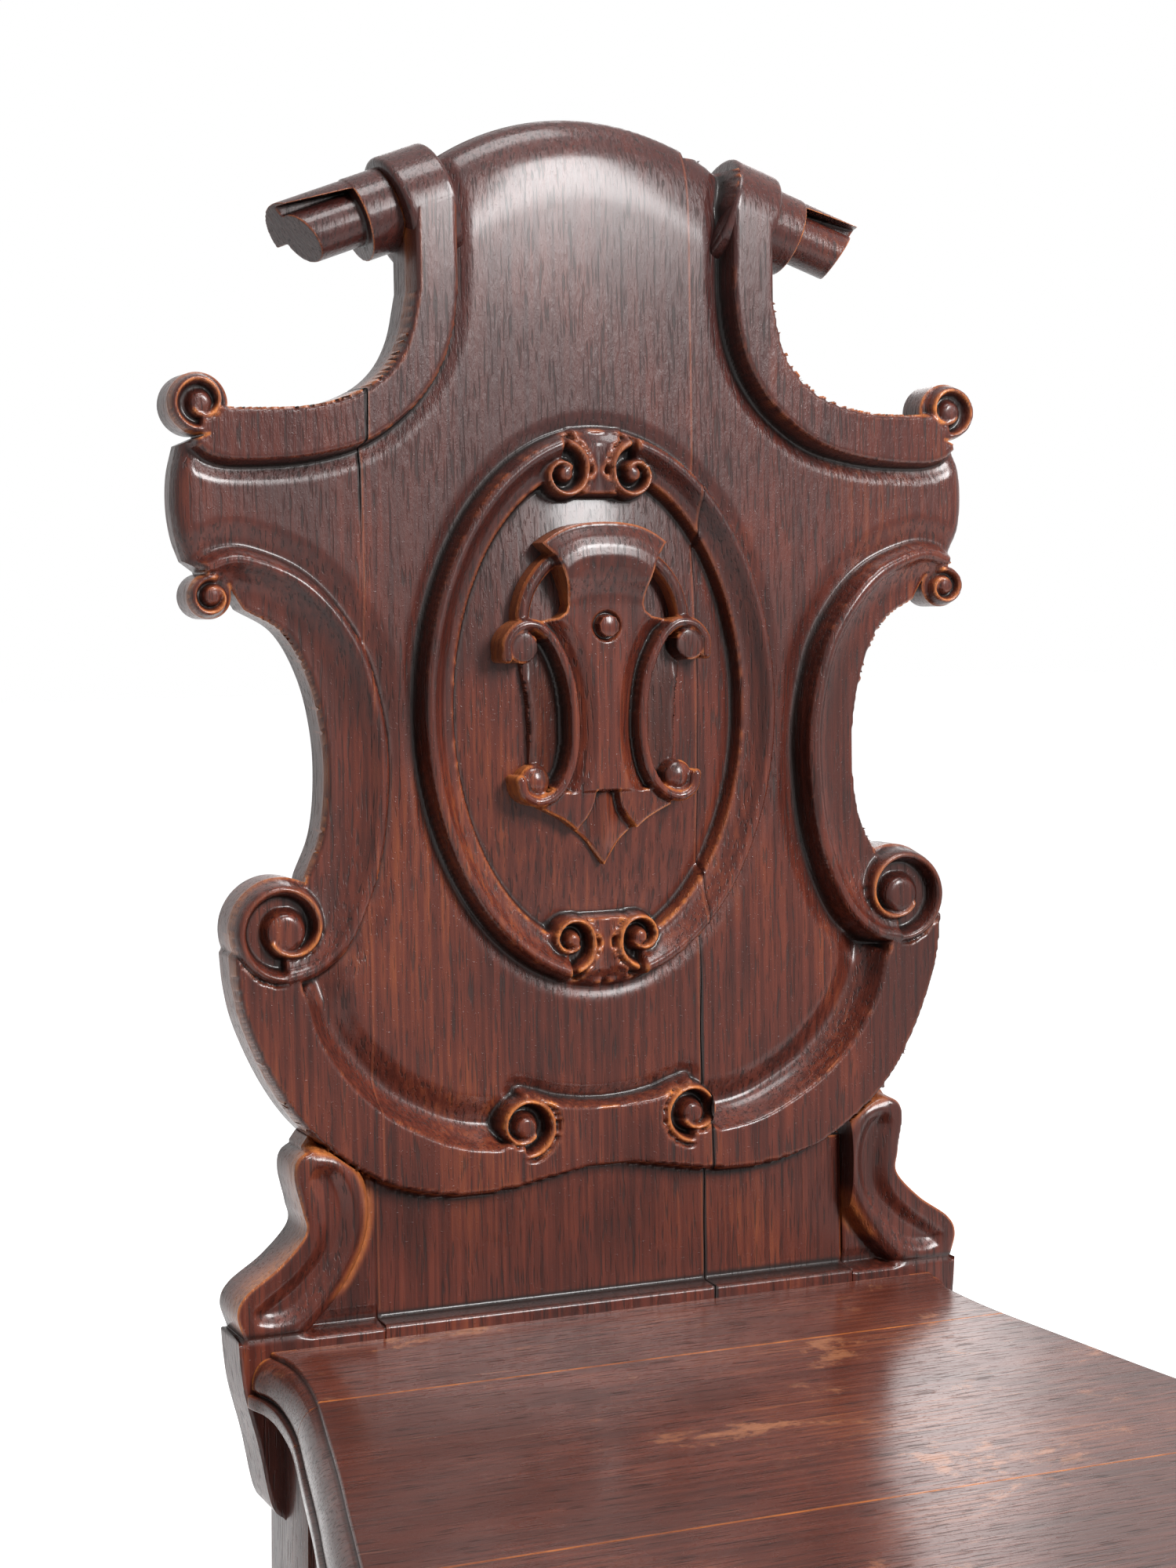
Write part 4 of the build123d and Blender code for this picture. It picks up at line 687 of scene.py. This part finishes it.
# purple-grey of the painted sheen at the top of the back
painted_top_sheen = (0.028, 0.0085, 0.0085, 1.0)
rubbed_oak = (0.46, 0.150, 0.036, 1.0)
carved_oak = oak_finish("carved_oak", (back_lean, 0.0, 0.0), fumed_dark, fumed_warm, rubbed_oak, 0.30,
                        top_sheen_paint=painted_top_sheen)


def finish_piece(piece, material, slot_name, *replaced):
    """Gives a piece its finish and fixes it to the chair; the pieces that it replaces are hidden."""
    piece.data.materials.clear()
    piece.data.materials.append(material)
    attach(piece, "root")
    if replaced:
        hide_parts(*replaced)


def in_back(x, s):
    """Inside the shield, or in the neck and the foot below it."""
    closed = np.vstack([shield_half, [(0.0, 56.0)]])
    return within(np.abs(x), s, closed) | ((s < neck_rise) & (x > -95.2) & (x < 105.2))


def mirrored(lines):
    """The lines of the right half, and of the left half."""
    return lines + [line * np.array([-1.0, 1.0]) for line in lines]


def ledge_wear(x, s, rubbed, grime_and_shade):
    """The ledge behind the seat is out of reach of rubbing hands, and darker along its top and just above it."""
    low = 1.0 - ease(s, 6.0, 8.5)
    return rubbed * (1.0 - 0.85 * low), np.maximum(grime_and_shade, 0.5 * low * ease(s, 2.0, 4.6))


flat_rear = -15.0
neck_edge = np.array([(105.0, 60.0), (105.0, -70.0)])
back_edges = mirrored([shield_half])
back_guides = mirrored([shoulder_inner, bay_crest, skirt_inner, bridge_line, oval_line, oval_lip])
foot_rises = [-65.0, -48.0, -32.0, -16.0, 0.0, 2.6, 3.6, 4.3, 4.7]
fine_rises = np.concatenate([
    np.arange(low, high, step) for low, high, step in (
        (5.4, 56.0, 1.0), (56.0, 92.0, 0.62), (92.0, 130.0, 1.0), (130.0, 180.0, 0.68), (180.0, 268.0, 1.0),
        (268.0, 364.0, 0.68), (364.0, 424.0, 1.0), (424.0, 465.0, 0.8))])
fine_rises = fine_rises[np.append(True, np.diff(fine_rises) > 0.4)]
# each: board, its two sides, its foot and top, space between points, rows at the foot, columns at its glue seams
board_cuts = (
    ("back_board_left", -168.0, -95.0, 50.0, 366.0, 0.66, [], [(-1, -95.0)]),
    ("back_board_centre", -95.0, 43.0, 5.0, 465.0, 0.84, foot_rises, [(0, -95.0), (-1, 43.0)]),
    ("back_board_right", 43.0, 168.0, 5.0, 450.0, 0.70, foot_rises, [(0, 43.0)]),
)
for name, low_x, high_x, low_s, high_s, cell, foot, seams in board_cuts:
    across = np.linspace(low_x, high_x, int(round((high_x - low_x) / cell)) + 1)
    rises = np.concatenate([foot, fine_rises[(fine_rises > low_s) & (fine_rises < high_s)]])
    edges = back_edges + ([neck_edge] if name == "back_board_right" else [])
    board = carve("carved_" + name, across, rises, in_back, drawn_edge(edges), carved_back, back_guides,
                  flat_rear, seams=seams)
    mark_wear_and_shade(board, passes=2, sides=0.2, seams=[seam for column, seam in seams], kept=ledge_wear)
    finish_piece(board, carved_oak, "carved_oak", name)

# Strap rolls: the top of each shoulder strap turns over backwards into a thick roll whose axis falls outwards. It is
# carved from the same boards as the straps.
roll_axis = {side: Vector((side * cos(roll_fall), 0.0, 0.0)) - back_up * sin(roll_fall) for side in (-1, 1)}


def back_point(x, s, h):
    """One point of the chair, in metres, from millimetres across, up and out of the back."""
    return back_foot + Vector((0.001 * x, 0.0, 0.0)) + back_up * (0.001 * s) + back_out * (0.001 * h)


def pick(piece):
    """Makes a piece the only one that the next tool works on."""
    bpy.ops.object.select_all(action="DESELECT")
    bpy.context.view_layer.objects.active = piece
    piece.select_set(True)


def smooth_by_angle(piece, angle):
    """Shades a piece smooth, but for its edges that turn by more than an angle in degrees."""
    pick(piece)
    bpy.ops.object.shade_smooth_by_angle(angle=radians(angle))


def skin(body, rows):
    """Faces between closed rows of points; a row of one point closes an end."""
    for low, high in zip(rows[:-1], rows[1:]):
        count = max(len(low), len(high))
        for k in range(count):
            following = (k + 1) % count
            if len(low) == 1:
                body.faces.new((low[0], high[following], high[k]))
            elif len(high) == 1:
                body.faces.new((low[k], low[following], high[0]))
            else:
                body.faces.new((low[k], low[following], high[following], high[k]))


def turned(name, base, axis, profile, segments, toward=back_out):
    """A closed turned shape: radii at distances along an axis, both in millimetres, first and last on the axis."""
    axis = axis.normalized()
    out_dir = (toward - axis * toward.dot(axis)).normalized()
    other = axis.cross(out_dir)
    body = bmesh.new()
    rows = []
    turns = [2 * np.pi * k / segments for k in range(segments)]
    for along, radius in profile:
        centre = base + axis * (0.001 * along)
        if radius == 0.0:
            rows.append([body.verts.new(centre)])
        else:
            rows.append([body.verts.new(centre + (out_dir * cos(turn) + other * sin(turn)) * (0.001 * radius))
                         for turn in turns])
    skin(body, rows)
    bmesh.ops.recalc_face_normals(body, faces=body.faces)
    return piece_from(body, name)


roll_profile = [(-9.05, 0.0), (-9.05, 9.0), (-9.05, 18.0), (-9.05, 20.4), (-8.95, 21.3), (-8.6, 22.0), (-8.0, 22.45),
                (-7.2, 22.6)]
roll_profile += [(along, roll_radius) for along in np.arange(-6.3, 9.6, 0.9)]
roll_profile += [(10.1, 22.45), (10.7, 22.1), (11.2, 21.5), (11.45, 20.7), (11.5, 19.8), (11.5, 18.4), (11.5, 9.0),
                 (11.5, 0.0)]
for side, side_name, board_name in ((-1, "left", "back_board_centre"), (1, "right", "back_board_right")):
    roll = turned("strap_roll_" + side_name, back_point(side * roll_axis_x, roll_axis_s, roll_depth),
                  roll_axis[side], roll_profile, 150)
    smooth_by_angle(roll, 40.0)
    mark_wear_and_shade(roll, rub=1.1)
    finish_piece(roll, carved_oak, "carved_oak", board_name)

# Scroll horns: a thick step, a smaller roll that runs on to a slanting end and a flap that curls over it from
# behind, carved as one separate piece on a round tenon that is glued into the end of each strap roll.
horn_grain = 0.00048
for side_name in ("left", "right"):
    horn = bpy.data.objects.new("scroll_horn_" + side_name, nodes["horn_" + side_name].data.copy())
    horn.data.name = horn.name
    bpy.context.scene.collection.objects.link(horn)
    pick(horn)
    horn.data.remesh_voxel_size = horn_grain
    bpy.ops.object.voxel_remesh()
    body = bmesh.new()
    body.from_mesh(horn.data)
    for _ in range(3):
        bmesh.ops.smooth_vert(body, verts=body.verts, factor=0.5, use_axis_x=True, use_axis_y=True, use_axis_z=True)
    body.to_mesh(horn.data)
    body.free()
    for face in horn.data.polygons:
        face.use_smooth = True
    mark_wear_and_shade(horn, rub=1.7)
    finish_piece(horn, carved_oak, "carved_oak", "horn_" + side_name)

# Cartouche: one carved piece of oak on the domed field. A hooded panel between two C bands that curl round a disc
# above and a ball below, loops behind the hood, and a pointed tongue under the panel.


def both_halves(half):
    """A closed line from its right half, drawn from the middle round to the middle."""
    half = np.array(half, float)
    return np.vstack([half, half[::-1] * np.array([-1.0, 1.0])])


def filled(x, s, line):
    """Depth of each point inside a closed line; negative outside it."""
    gap = reach(x, s, np.vstack([line, line[:1]]), 14.0)[0]
    return np.where(within(x, s, line), gap, -gap)


def shaped_edge(depth):
    """Finds the nearest point of a piece's outline, given as the depth of each point inside it."""
    def nearest(x, s, far):
        px, ps = x.copy(), s.copy()
        small = 0.05
        for _ in range(4):
            here = depth(px, ps)
            slope_x = (depth(px + small, ps) - depth(px - small, ps)) / (2.0 * small)
            slope_s = (depth(px, ps + small) - depth(px, ps - small)) / (2.0 * small)
            steep = np.maximum(slope_x ** 2 + slope_s ** 2, 0.25)
            px, ps = px - here * slope_x / steep, ps - here * slope_s / steep
        return np.minimum(np.abs(depth(x, s)), far), px, ps
    return nearest


hood_top = flow([(0.0, 307.0), (7.5, 306.6), (14.7, 305.2), (21.0, 302.4), (26.0, 299.0)])
hood_side = flow([(26.0, 299.0), (21.6, 294.0), (18.9, 288.4), (16.6, 281.0), (15.6, 274.0)])
waist = [(24.5, 264.0), (19.5, 256.0), (16.0, 246.0), (14.3, 233.0), (14.6, 221.0), (17.2, 210.5)]
band_line = flow([(41.6, 255.5), (41.3, 262.0), (36.5, 267.2), (30.0, 267.8)] + waist
                 + [(22.5, 203.0), (29.5, 200.2), (35.2, 203.0), (36.8, 208.5)], 0.8)
loop_line = flow([(15.0, 295.0), (21.0, 292.3), (26.5, 287.4), (31.0, 280.5), (33.4, 272.0), (33.0, 265.0)], 0.8)
panel_side = flow([(30.0, 267.8)] + waist + [(22.0, 204.0)], 0.8)
tab_side = flow([(4.6, 203.4), (5.6, 198.0), (8.6, 192.6), (12.6, 188.2)])
hood_line = both_halves(np.vstack([hood_top, hood_side, [(0.0, 274.0)]]))
panel_line = both_halves(np.vstack([[(0.0, 276.0), (15.6, 276.0), (16.6, 272.6), (19.6, 270.4), (25.0, 269.4)],
                                    panel_side, [(12.0, 203.4), (4.6, 203.4), (0.0, 203.4)]]))
tab_line = np.vstack([[(4.6, 206.0)], tab_side, flow([(12.6, 188.2), (18.0, 192.4), (27.0, 197.0)]),
                      [(27.0, 202.0), (20.0, 207.0)]])
tongue_line = both_halves(np.vstack([[(0.0, 205.0), (4.8, 205.0), (9.0, 193.0)],
                                     flow([(12.4, 188.4), (7.2, 183.8), (2.8, 178.0), (0.0, 174.2)])]))
plate_line = np.vstack([flow(waist + [(22.0, 204.0)]), [(30.4, 210.0)],
                        flow([(30.4, 214.0), (30.6, 228.0), (31.6, 241.0), (33.6, 253.0)]), [(33.0, 260.0)]])
disc_place, ball_place, peg_place = (35.0, 259.5), (30.0, 208.0), (0.0, 267.0)
band_half, loop_half, knob_radius = 2.1, 2.8, 6.2


def cartouche_depth(x, s):
    """Depth of each point inside the outline of the cartouche, holes and all."""
    x = np.abs(x)
    return np.maximum.reduce([
        filled(x, s, hood_line), filled(x, s, panel_line), filled(x, s, tab_line), filled(x, s, tongue_line),
        filled(x, s, plate_line), loop_half - reach(x, s, loop_line, 14.0)[0],
        band_half - reach(x, s, band_line, 14.0)[0], knob_radius - np.hypot(x - disc_place[0], s - disc_place[1]),
        knob_radius - np.hypot(x - ball_place[0], s - ball_place[1]),
    ])


def carved_cartouche(x, s):
    """Height of the cartouche's face over the ground of the back."""
    x = np.abs(x)
    h = np.full(x.shape, 2.0)
    band_gap = reach(x, s, band_line, 14.0)[0]
    from_top = reach(x, s, np.vstack([hood_top[::-1] * np.array([-1.0, 1.0]), hood_top]), 60.0)[0]
    hooded = np.interp(from_top, [0.0, 2.0, 5.0, 9.0, 13.0, 17.0, 22.0, 28.0, 34.0],
                       [9.8, 11.4, 13.2, 14.6, 15.0, 14.6, 13.4, 11.8, 11.0])
    h = np.where(filled(x, s, plate_line) > 0.0,
                 3.4 + 2.6 * np.clip((band_gap - 3.0) / 12.0, 0.0, 1.0) ** 1.6, h)
    loop_gap = reach(x, s, loop_line, 6.0)[0]
    h = np.where(loop_gap < 2.9, 6.4 + 3.0 * dome(loop_gap / 3.0), h)
    ridge = 4.2 + 2.8 * wall(x, 7.5, 1.4) - 1.6 * (1.0 - ease(s, 174.0, 188.0))
    h = np.where(filled(x, s, tongue_line) > -0.6, ridge, h)
    h = np.where(filled(x, s, tab_line) > -0.1, 8.6 + 0.10 * np.clip(s - 190.0, 0.0, 14.0), h)
    cove = 11.0 - 4.6 * (1.0 - ease(band_gap, 2.0, 11.0)) * ease(276.0 - s, 0.0, 12.0)
    h = np.where(filled(x, s, panel_line) > -0.1, cove, h)
    h = np.where(filled(x, s, hood_line) > -0.3, 11.0 + (np.maximum(hooded, 11.0) - 11.0) * ease(s, 274.0, 286.0), h)
    disc = np.hypot(x - disc_place[0], s - disc_place[1])
    h = np.where(disc < 6.4, 11.4 + 0.8 * dome(disc / 6.6, 4), h)
    ball = np.hypot(x - ball_place[0], s - ball_place[1])
    h = np.where(ball < 6.4, 6.6 + 5.0 * dome(ball / 6.6), h)
    h = np.where(band_gap < 2.15, 13.6 - 1.5 * (band_gap / band_half) ** 2, h)
    from_peg = np.hypot(x - peg_place[0], s - peg_place[1])
    return h - 2.4 * (1.0 - ease(np.abs(from_peg - 4.9), 0.3, 1.0))


def beside(line, gap):
    """A drawn line moved to its left."""
    run = np.gradient(line, axis=0)
    run /= np.linalg.norm(run, axis=1, keepdims=True) + 1e-9
    return line + gap * np.stack([-run[:, 1], run[:, 0]], 1)


cartouche_guides = mirrored([beside(band_line, band_half), beside(band_line, -band_half), tab_side])
cartouche = carve("carved_cartouche", np.linspace(-45.0, 45.0, 181), np.arange(172.0, 309.1, 0.5),
                  lambda x, s: cartouche_depth(x, s) > 0.0, shaped_edge(cartouche_depth), carved_cartouche,
                  cartouche_guides, -0.5, arris=0.9)


def cartouche_wear_and_shade(x, s, rubbed, grime_and_shade):
    """The sunk plates behind the bands are left unrubbed and darkened, as painted shade in their recess."""
    sunk = ease(filled(np.abs(x), s, plate_line), -1.0, 0.6) * ease(reach(np.abs(x), s, band_line, 8.0)[0], 2.2, 3.4)
    return rubbed * (1.0 - 0.95 * sunk), np.maximum(grime_and_shade, 0.42 * sunk)


mark_wear_and_shade(cartouche, rub=1.3, passes=2, sides=0.3, kept=cartouche_wear_and_shade)
cartouche_oak = oak_finish("cartouche_oak", (back_lean, 0.0, 0.0), fumed_dark, fumed_warm, rubbed_oak, 0.26,
                           tooling=0.7)
finish_piece(cartouche, cartouche_oak, "carved_oak", "cartouche")

# Cartouche peg: a riven oak pin, roughly eight-sided, driven through the panel of the cartouche into the back.
peg_profile = [(-9.0, 0.0), (-9.0, 4.3), (10.0, 4.35), (13.0, 4.3), (13.7, 4.05), (14.0, 3.5), (14.1, 0.0)]
peg = turned("riven_peg", back_point(peg_place[0], peg_place[1], 0.0), back_out, peg_profile, 9, toward=back_up)
smooth_by_angle(peg, 30.0)
mark_wear_and_shade(peg, rub=0.6, passes=0)
finish_piece(peg, cartouche_oak, "carved_oak", "cartouche_peg")

# Brackets: a kidney-shaped scroll dished in front, on each end of the ledge, with a tapering ear below it; each is
# one short board glued and dowelled to the foot of the back.
kidney_outer = flow([(150.0, 4.5), (152.7, 14.4), (149.0, 21.8), (136.0, 31.0), (125.7, 42.1), (126.5, 50.9),
                     (129.0, 63.0), (127.5, 70.4), (120.0, 74.5)])
kidney_inner = flow([(120.0, 74.5), (108.0, 70.4), (101.0, 60.2), (99.5, 44.9), (103.5, 31.0), (113.2, 15.7),
                     (124.0, 4.5)])
kidney_line = np.vstack([kidney_outer, kidney_inner])
dish_line = flow([(146.0, 9.0), (147.6, 15.0), (143.0, 19.4), (131.0, 28.0), (122.4, 38.5), (122.2, 52.0),
                  (124.6, 63.0), (120.0, 69.0), (112.0, 66.6), (107.0, 57.5), (105.6, 46.0), (108.6, 33.0),
                  (117.2, 20.0), (127.4, 10.0), (138.0, 7.6), (146.0, 9.0)])
bracket_seams, bracket_end, bracket_cell = (95.0, 105.0), 153.6, 0.6
ear_edge = flow([(152.5, 4.5), (151.8, -6.0), (150.2, -17.6), (145.7, -36.0), (141.2, -58.6), (136.0, -65.0)])
shield_line = both_halves(shield_half)


def bracket_parts(seam):
    """The outline of one bracket and the height of its face, right-handed, from its glue seam outwards."""
    ground_line = np.array([(seam, 4.0), (seam, 90.0), (112.0, 90.0), (124.0, 74.0), (126.0, 4.0)])
    ear_line = np.vstack([ear_edge, [(seam, -65.0), (seam, 4.7), (152.5, 4.7)]])

    def depth(x, s):
        x = np.abs(x)
        stands = np.maximum.reduce([filled(x, s, kidney_line), np.minimum(filled(x, s, ground_line), 127.0 - x),
                                    filled(x, s, ear_line)])
        return np.minimum(stands, -filled(x, s, shield_line))

    def height(x, s):
        x = np.abs(x)
        h = -1.2 * np.clip(1.0 - (s - 4.5) / 3.0, -1.0, 0.0)
        dished = filled(x, s, dish_line)
        inner_gap = reach(x, s, kidney_inner, 20.0)[0]
        face = 10.0 - 2.9 * ease(dished, 0.0, 6.5) - 0.85 * rounded(inner_gap, 6.8)
        face -= 0.7 * rounded(reach(x, s, kidney_outer, 3.0)[0], 2.2) * ease(s, 45.0, 60.0)
        face -= 0.9 * wall(np.abs(s - 4.9), 0.8, 1)
        h = np.where(filled(x, s, kidney_line) > -0.1, face, h)
        return np.where(s < 4.4, 10.0, h)

    return depth, height


def bracket_wear(x, s, rubbed, grime_and_shade):
    """The inner rim of the kidney is rubbed to bare oak."""
    rubbed, grime_and_shade = ledge_wear(x, s, rubbed, grime_and_shade)
    rubbed = rubbed * ease(np.where(x < 0.0, -bracket_seams[0] - x, x - bracket_seams[1]), 0.8, 3.2)
    rim = 1.0 - ease(reach(np.abs(x), s, kidney_inner, 8.0)[0], 1.5, 5.5)
    return np.maximum(rubbed, 0.6 * rim * ease(s, 12.0, 20.0)), grime_and_shade * (1.0 - 0.8 * rim)


for side, side_name, seam in zip((-1, 1), ("left", "right"), bracket_seams):
    bracket_depth, bracket_height = bracket_parts(seam)
    across = np.linspace(seam, bracket_end, int((bracket_end - seam) / bracket_cell) + 1)
    column = 0
    if side < 0:
        across, column = -across[::-1], -1
    rises = np.concatenate([np.arange(-65.0, 4.0, 0.75), np.arange(4.4, 88.0, 0.6)])
    bracket = carve("bracket_scroll_" + side_name, across, rises, lambda x, s: bracket_depth(x, s) > 0.0,
                    shaped_edge(bracket_depth), bracket_height, mirrored([kidney_inner]), flat_rear, arris=0.9,
                    seams=[(column, side * seam)])
    mark_wear_and_shade(bracket, passes=2, sides=0.2, kept=bracket_wear)
    finish_piece(bracket, carved_oak, "carved_oak", "bracket_" + side_name)

# Seat: three oak boards with the grain from side to side, glued edge to edge. The edge is moulded round the front
# and sides: a flat top with a small step, a round below it, a quirk and a square fillet.
seat_half_width, seat_run, seat_rear_y, seat_under = 203.0, 380.0, 155.0, 420.0
seat_side_shares = [(0.739, -0.026), (0.739, 0.026), (0.722, 0.058), (0.719, 0.100), (0.734, 0.171), (0.776, 0.276),
                    (0.818, 0.379), (0.852, 0.455), (0.906, 0.579), (0.966, 0.711), (1.0, 0.837)]
seat_corner_shares = [(1.0, 0.837), (0.996, 0.882), (0.982, 0.916), (0.957, 0.942), (0.920, 0.962), (0.860, 0.976)]
seat_front_shares = [(0.860, 0.976), (0.660, 0.986), (0.450, 0.993), (0.220, 0.998), (0.0, 1.0)]


def seat_half(shares):
    """Part of the seat's outline, as shares of its half width and of its run forward from the back."""
    spread_out = np.array(shares) * np.array([seat_half_width, seat_run])
    return flow(spread_out, 2.0) / np.array([seat_half_width, seat_run])


half_outline = np.vstack([seat_half(seat_side_shares)[:-1], seat_half(seat_corner_shares)[:-1],
                          seat_half(seat_front_shares)])
seat_outline = np.vstack([half_outline, half_outline[-2::-1] * np.array([-1.0, 1.0])])
seat_profile = [(0.9, 0.0), (0.3, 0.25), (0.0, 0.8), (0.0, 2.6), (0.0, 4.2), (0.25, 4.75), (0.8, 5.0), (3.0, 5.05),
                (4.4, 5.2), (4.4, 5.6), (3.6, 6.2), (2.7, 7.0)]
seat_profile += [(12.5 - 10.0 * sin(t), 8.0 + 10.0 * cos(t)) for t in np.radians(np.arange(90.0, -1.0, -7.5))]
seat_profile += [(12.9, 18.1), (13.0, 18.4), (13.0, 19.3), (13.2, 19.75), (13.7, 20.0), (14.6, 20.0), (16.6, 20.0),
                 (20.0, 20.0), (26.0, 20.0)]
whole_seat = bmesh.new()
rows = []
for inset, rise in seat_profile:
    plan = seat_outline * np.array([seat_half_width - inset, -(seat_run - inset)])
    rows.append([whole_seat.verts.new((0.001 * x, 0.001 * (seat_rear_y + y), 0.001 * (seat_under + rise)))
                 for x, y in plan])
skin(whole_seat, rows)
whole_seat.faces.new(rows[0])
whole_seat.faces.new(rows[-1])
bmesh.ops.recalc_face_normals(whole_seat, faces=whole_seat.faces)
seat_oak = oak_finish("seat_oak", (0.0, np.pi / 2, 0.0), (0.036, 0.0100, 0.0070, 1.0), (0.135, 0.036, 0.0225, 1.0),
                      rubbed_oak, 0.24, tooling=0.3, scuffs=0.9)
rear_joint, front_joint = 0.0870, -0.0660
joint_half, rubbed_strip, top_from = 0.0002, 0.0010, 0.4395
rearward = Vector((0.0, 1.0, 0.0))
# each: the board, and for each of its cut sides a point of the cut and the way that the board lies from it
seat_cuts = (
    ("rear", ((back_foot + back_out * 0.0101, back_out),
              (rearward * (rear_joint + joint_half), rearward))),
    ("middle", ((rearward * (rear_joint - joint_half), -rearward),
                (rearward * (front_joint + joint_half), rearward))),
    ("front", ((rearward * (front_joint - joint_half), -rearward),)),
)


def cut_across(body, place, facing, clear=False):
    """Cuts a body along a plane; clear takes away what lies behind it."""
    everything = body.verts[:] + body.edges[:] + body.faces[:]
    return bmesh.ops.bisect_plane(body, geom=everything, dist=1e-7, plane_co=place, plane_no=facing,
                                  clear_inner=clear)


for board_name, cuts in seat_cuts:
    body = whole_seat.copy()
    for joint in (rear_joint, front_joint):
        for strip in (-rubbed_strip, rubbed_strip):
            cut_across(body, rearward * (joint + strip), rearward)
    for place, facing in cuts:
        cut = cut_across(body, place, facing, clear=True)
        rim = [part for part in cut["geom_cut"] if isinstance(part, bmesh.types.BMEdge)]
        bmesh.ops.holes_fill(body, edges=rim, sides=0)
    bmesh.ops.recalc_face_normals(body, faces=body.faces)
    plank = piece_from(body, "seat_plank_" + board_name)
    smooth_by_angle(plank, 40.0)
    mark_wear_and_shade(plank)
    for corner, point in zip(plank.data.attributes["rubbed"].data, plank.data.loops):
        place = plank.data.vertices[point.vertex_index].co
        beside_joint = min(abs(place.y - rear_joint), abs(place.y - front_joint)) < 0.6 * rubbed_strip
        if beside_joint and place.z > top_from:
            corner.value = 1.0
    finish_piece(plank, seat_oak, "seat_oak", "seat_board_" + board_name)
whole_seat.free()

# Legs, rails and corner blocks: oak, stained and waxed like the rest. The front legs are turned below a square head,
# the rear ones sawn to a curve; the rails join them on pegged tenons.
weld, flat_angle, leg_wear = 1e-6, radians(1.0), 0.75


def eased_copy(name, node_name, arris, angle=30.0):
    """The joiner's piece with its arrises taken off and marked as rubbed, as a mesh of its own."""
    mesh = nodes[node_name].data.copy()
    mesh.name = name
    body = bmesh.new()
    body.from_mesh(mesh)
    bmesh.ops.remove_doubles(body, verts=body.verts, dist=weld)
    bmesh.ops.dissolve_limit(body, angle_limit=flat_angle, verts=body.verts, edges=body.edges)
    sharp = [side for side in body.edges if side.is_manifold and side.calc_face_angle(0.0) > radians(angle)]
    worn_faces = bmesh.ops.bevel(body, geom=sharp, offset=arris, segments=3, profile=0.5, affect="EDGES",
                                 clamp_overlap=True)["faces"]
    worn = body.loops.layers.float.new("rubbed")
    for face in worn_faces:
        for corner in face.loops:
            corner[worn] = leg_wear
    bmesh.ops.recalc_face_normals(body, faces=body.faces)
    piece = piece_from(body, name, mesh)
    smooth_by_angle(piece, 40.0)
    return piece


frame_oak = oak_finish("frame_oak", (0.0, 0.0, 0.0), fumed_dark, fumed_warm, rubbed_oak, 0.30, tooling=0.4)
rail_oak = oak_finish("rail_oak", (0.0, np.pi / 2, 0.0), fumed_dark, fumed_warm, rubbed_oak, 0.32, tooling=0.4)
side_rail_oak = oak_finish("side_rail_oak", (np.pi / 2, 0.0, 0.0), fumed_dark, fumed_warm, rubbed_oak, 0.32,
                           tooling=0.4)
frame_pieces = (
    (frame_oak, 0.0012, ("front_leg_left", "front_leg_right")),
    (frame_oak, 0.0018, ("rear_leg_left", "rear_leg_right")),
    (rail_oak, 0.0008, ("front_rail", "rear_rail")),
    (side_rail_oak, 0.0008, ("side_rail_left", "side_rail_right")),
    (rail_oak, 0.0008, ("corner_block_front_left", "corner_block_front_right", "corner_block_rear_left",
                        "corner_block_rear_right")),
)
for material, arris, node_names in frame_pieces:
    for node_name in node_names:
        finish_piece(eased_copy("waxed_" + node_name, node_name, arris), material, "frame_oak", node_name)

# Dowels, pegs and screws: hidden in their holes for the most part. The wood is as it came from the plane, the screws
# are slotted steel gone dull.
bare_oak = oak_finish("unpolished_oak", (0.0, np.pi / 2, 0.0), (0.30, 0.17, 0.085, 1.0), (0.42, 0.26, 0.14, 1.0),
                      (0.46, 0.30, 0.17, 1.0), 0.6, tooling=0.4, coat=0.0)
dull_steel = bpy.data.materials.new("screw_steel")
dull_steel.use_nodes = True
steel_tree = dull_steel.node_tree
steel_shader = steel_tree.nodes["Principled BSDF"]
steel_place = steel_tree.nodes.new("ShaderNodeTexCoord")
rust = steel_tree.nodes.new("ShaderNodeTexNoise")
rust.inputs["Scale"].default_value = 900.0
rust.inputs["Detail"].default_value = 4.0
steel_tree.links.new(steel_place.outputs["Object"], rust.inputs["Vector"])
for socket, dull, bright in (("Base Color", (0.11, 0.075, 0.055, 1.0), (0.36, 0.34, 0.32, 1.0)),
                             ("Roughness", (0.62, 0.62, 0.62, 1.0), (0.34, 0.34, 0.34, 1.0))):
    ramp = steel_tree.nodes.new("ShaderNodeValToRGB")
    ramp.color_ramp.elements[0].position, ramp.color_ramp.elements[1].position = 0.40, 0.62
    ramp.color_ramp.elements[0].color, ramp.color_ramp.elements[1].color = dull, bright
    steel_tree.links.new(rust.outputs["Fac"], ramp.inputs["Fac"])
    steel_tree.links.new(ramp.outputs["Color"], steel_shader.inputs[socket])
steel_shader.inputs["Metallic"].default_value = 0.9
fixings = ((bare_oak, ("back_dowels", "bracket_dowels", "seat_dowels", "rail_pegs")),
           (dull_steel, ("back_screws", "block_screws", "seat_screws")))
for material, names in fixings:
    for name in names:
        nodes[name].data.materials.clear()
        nodes[name].data.materials.append(material)
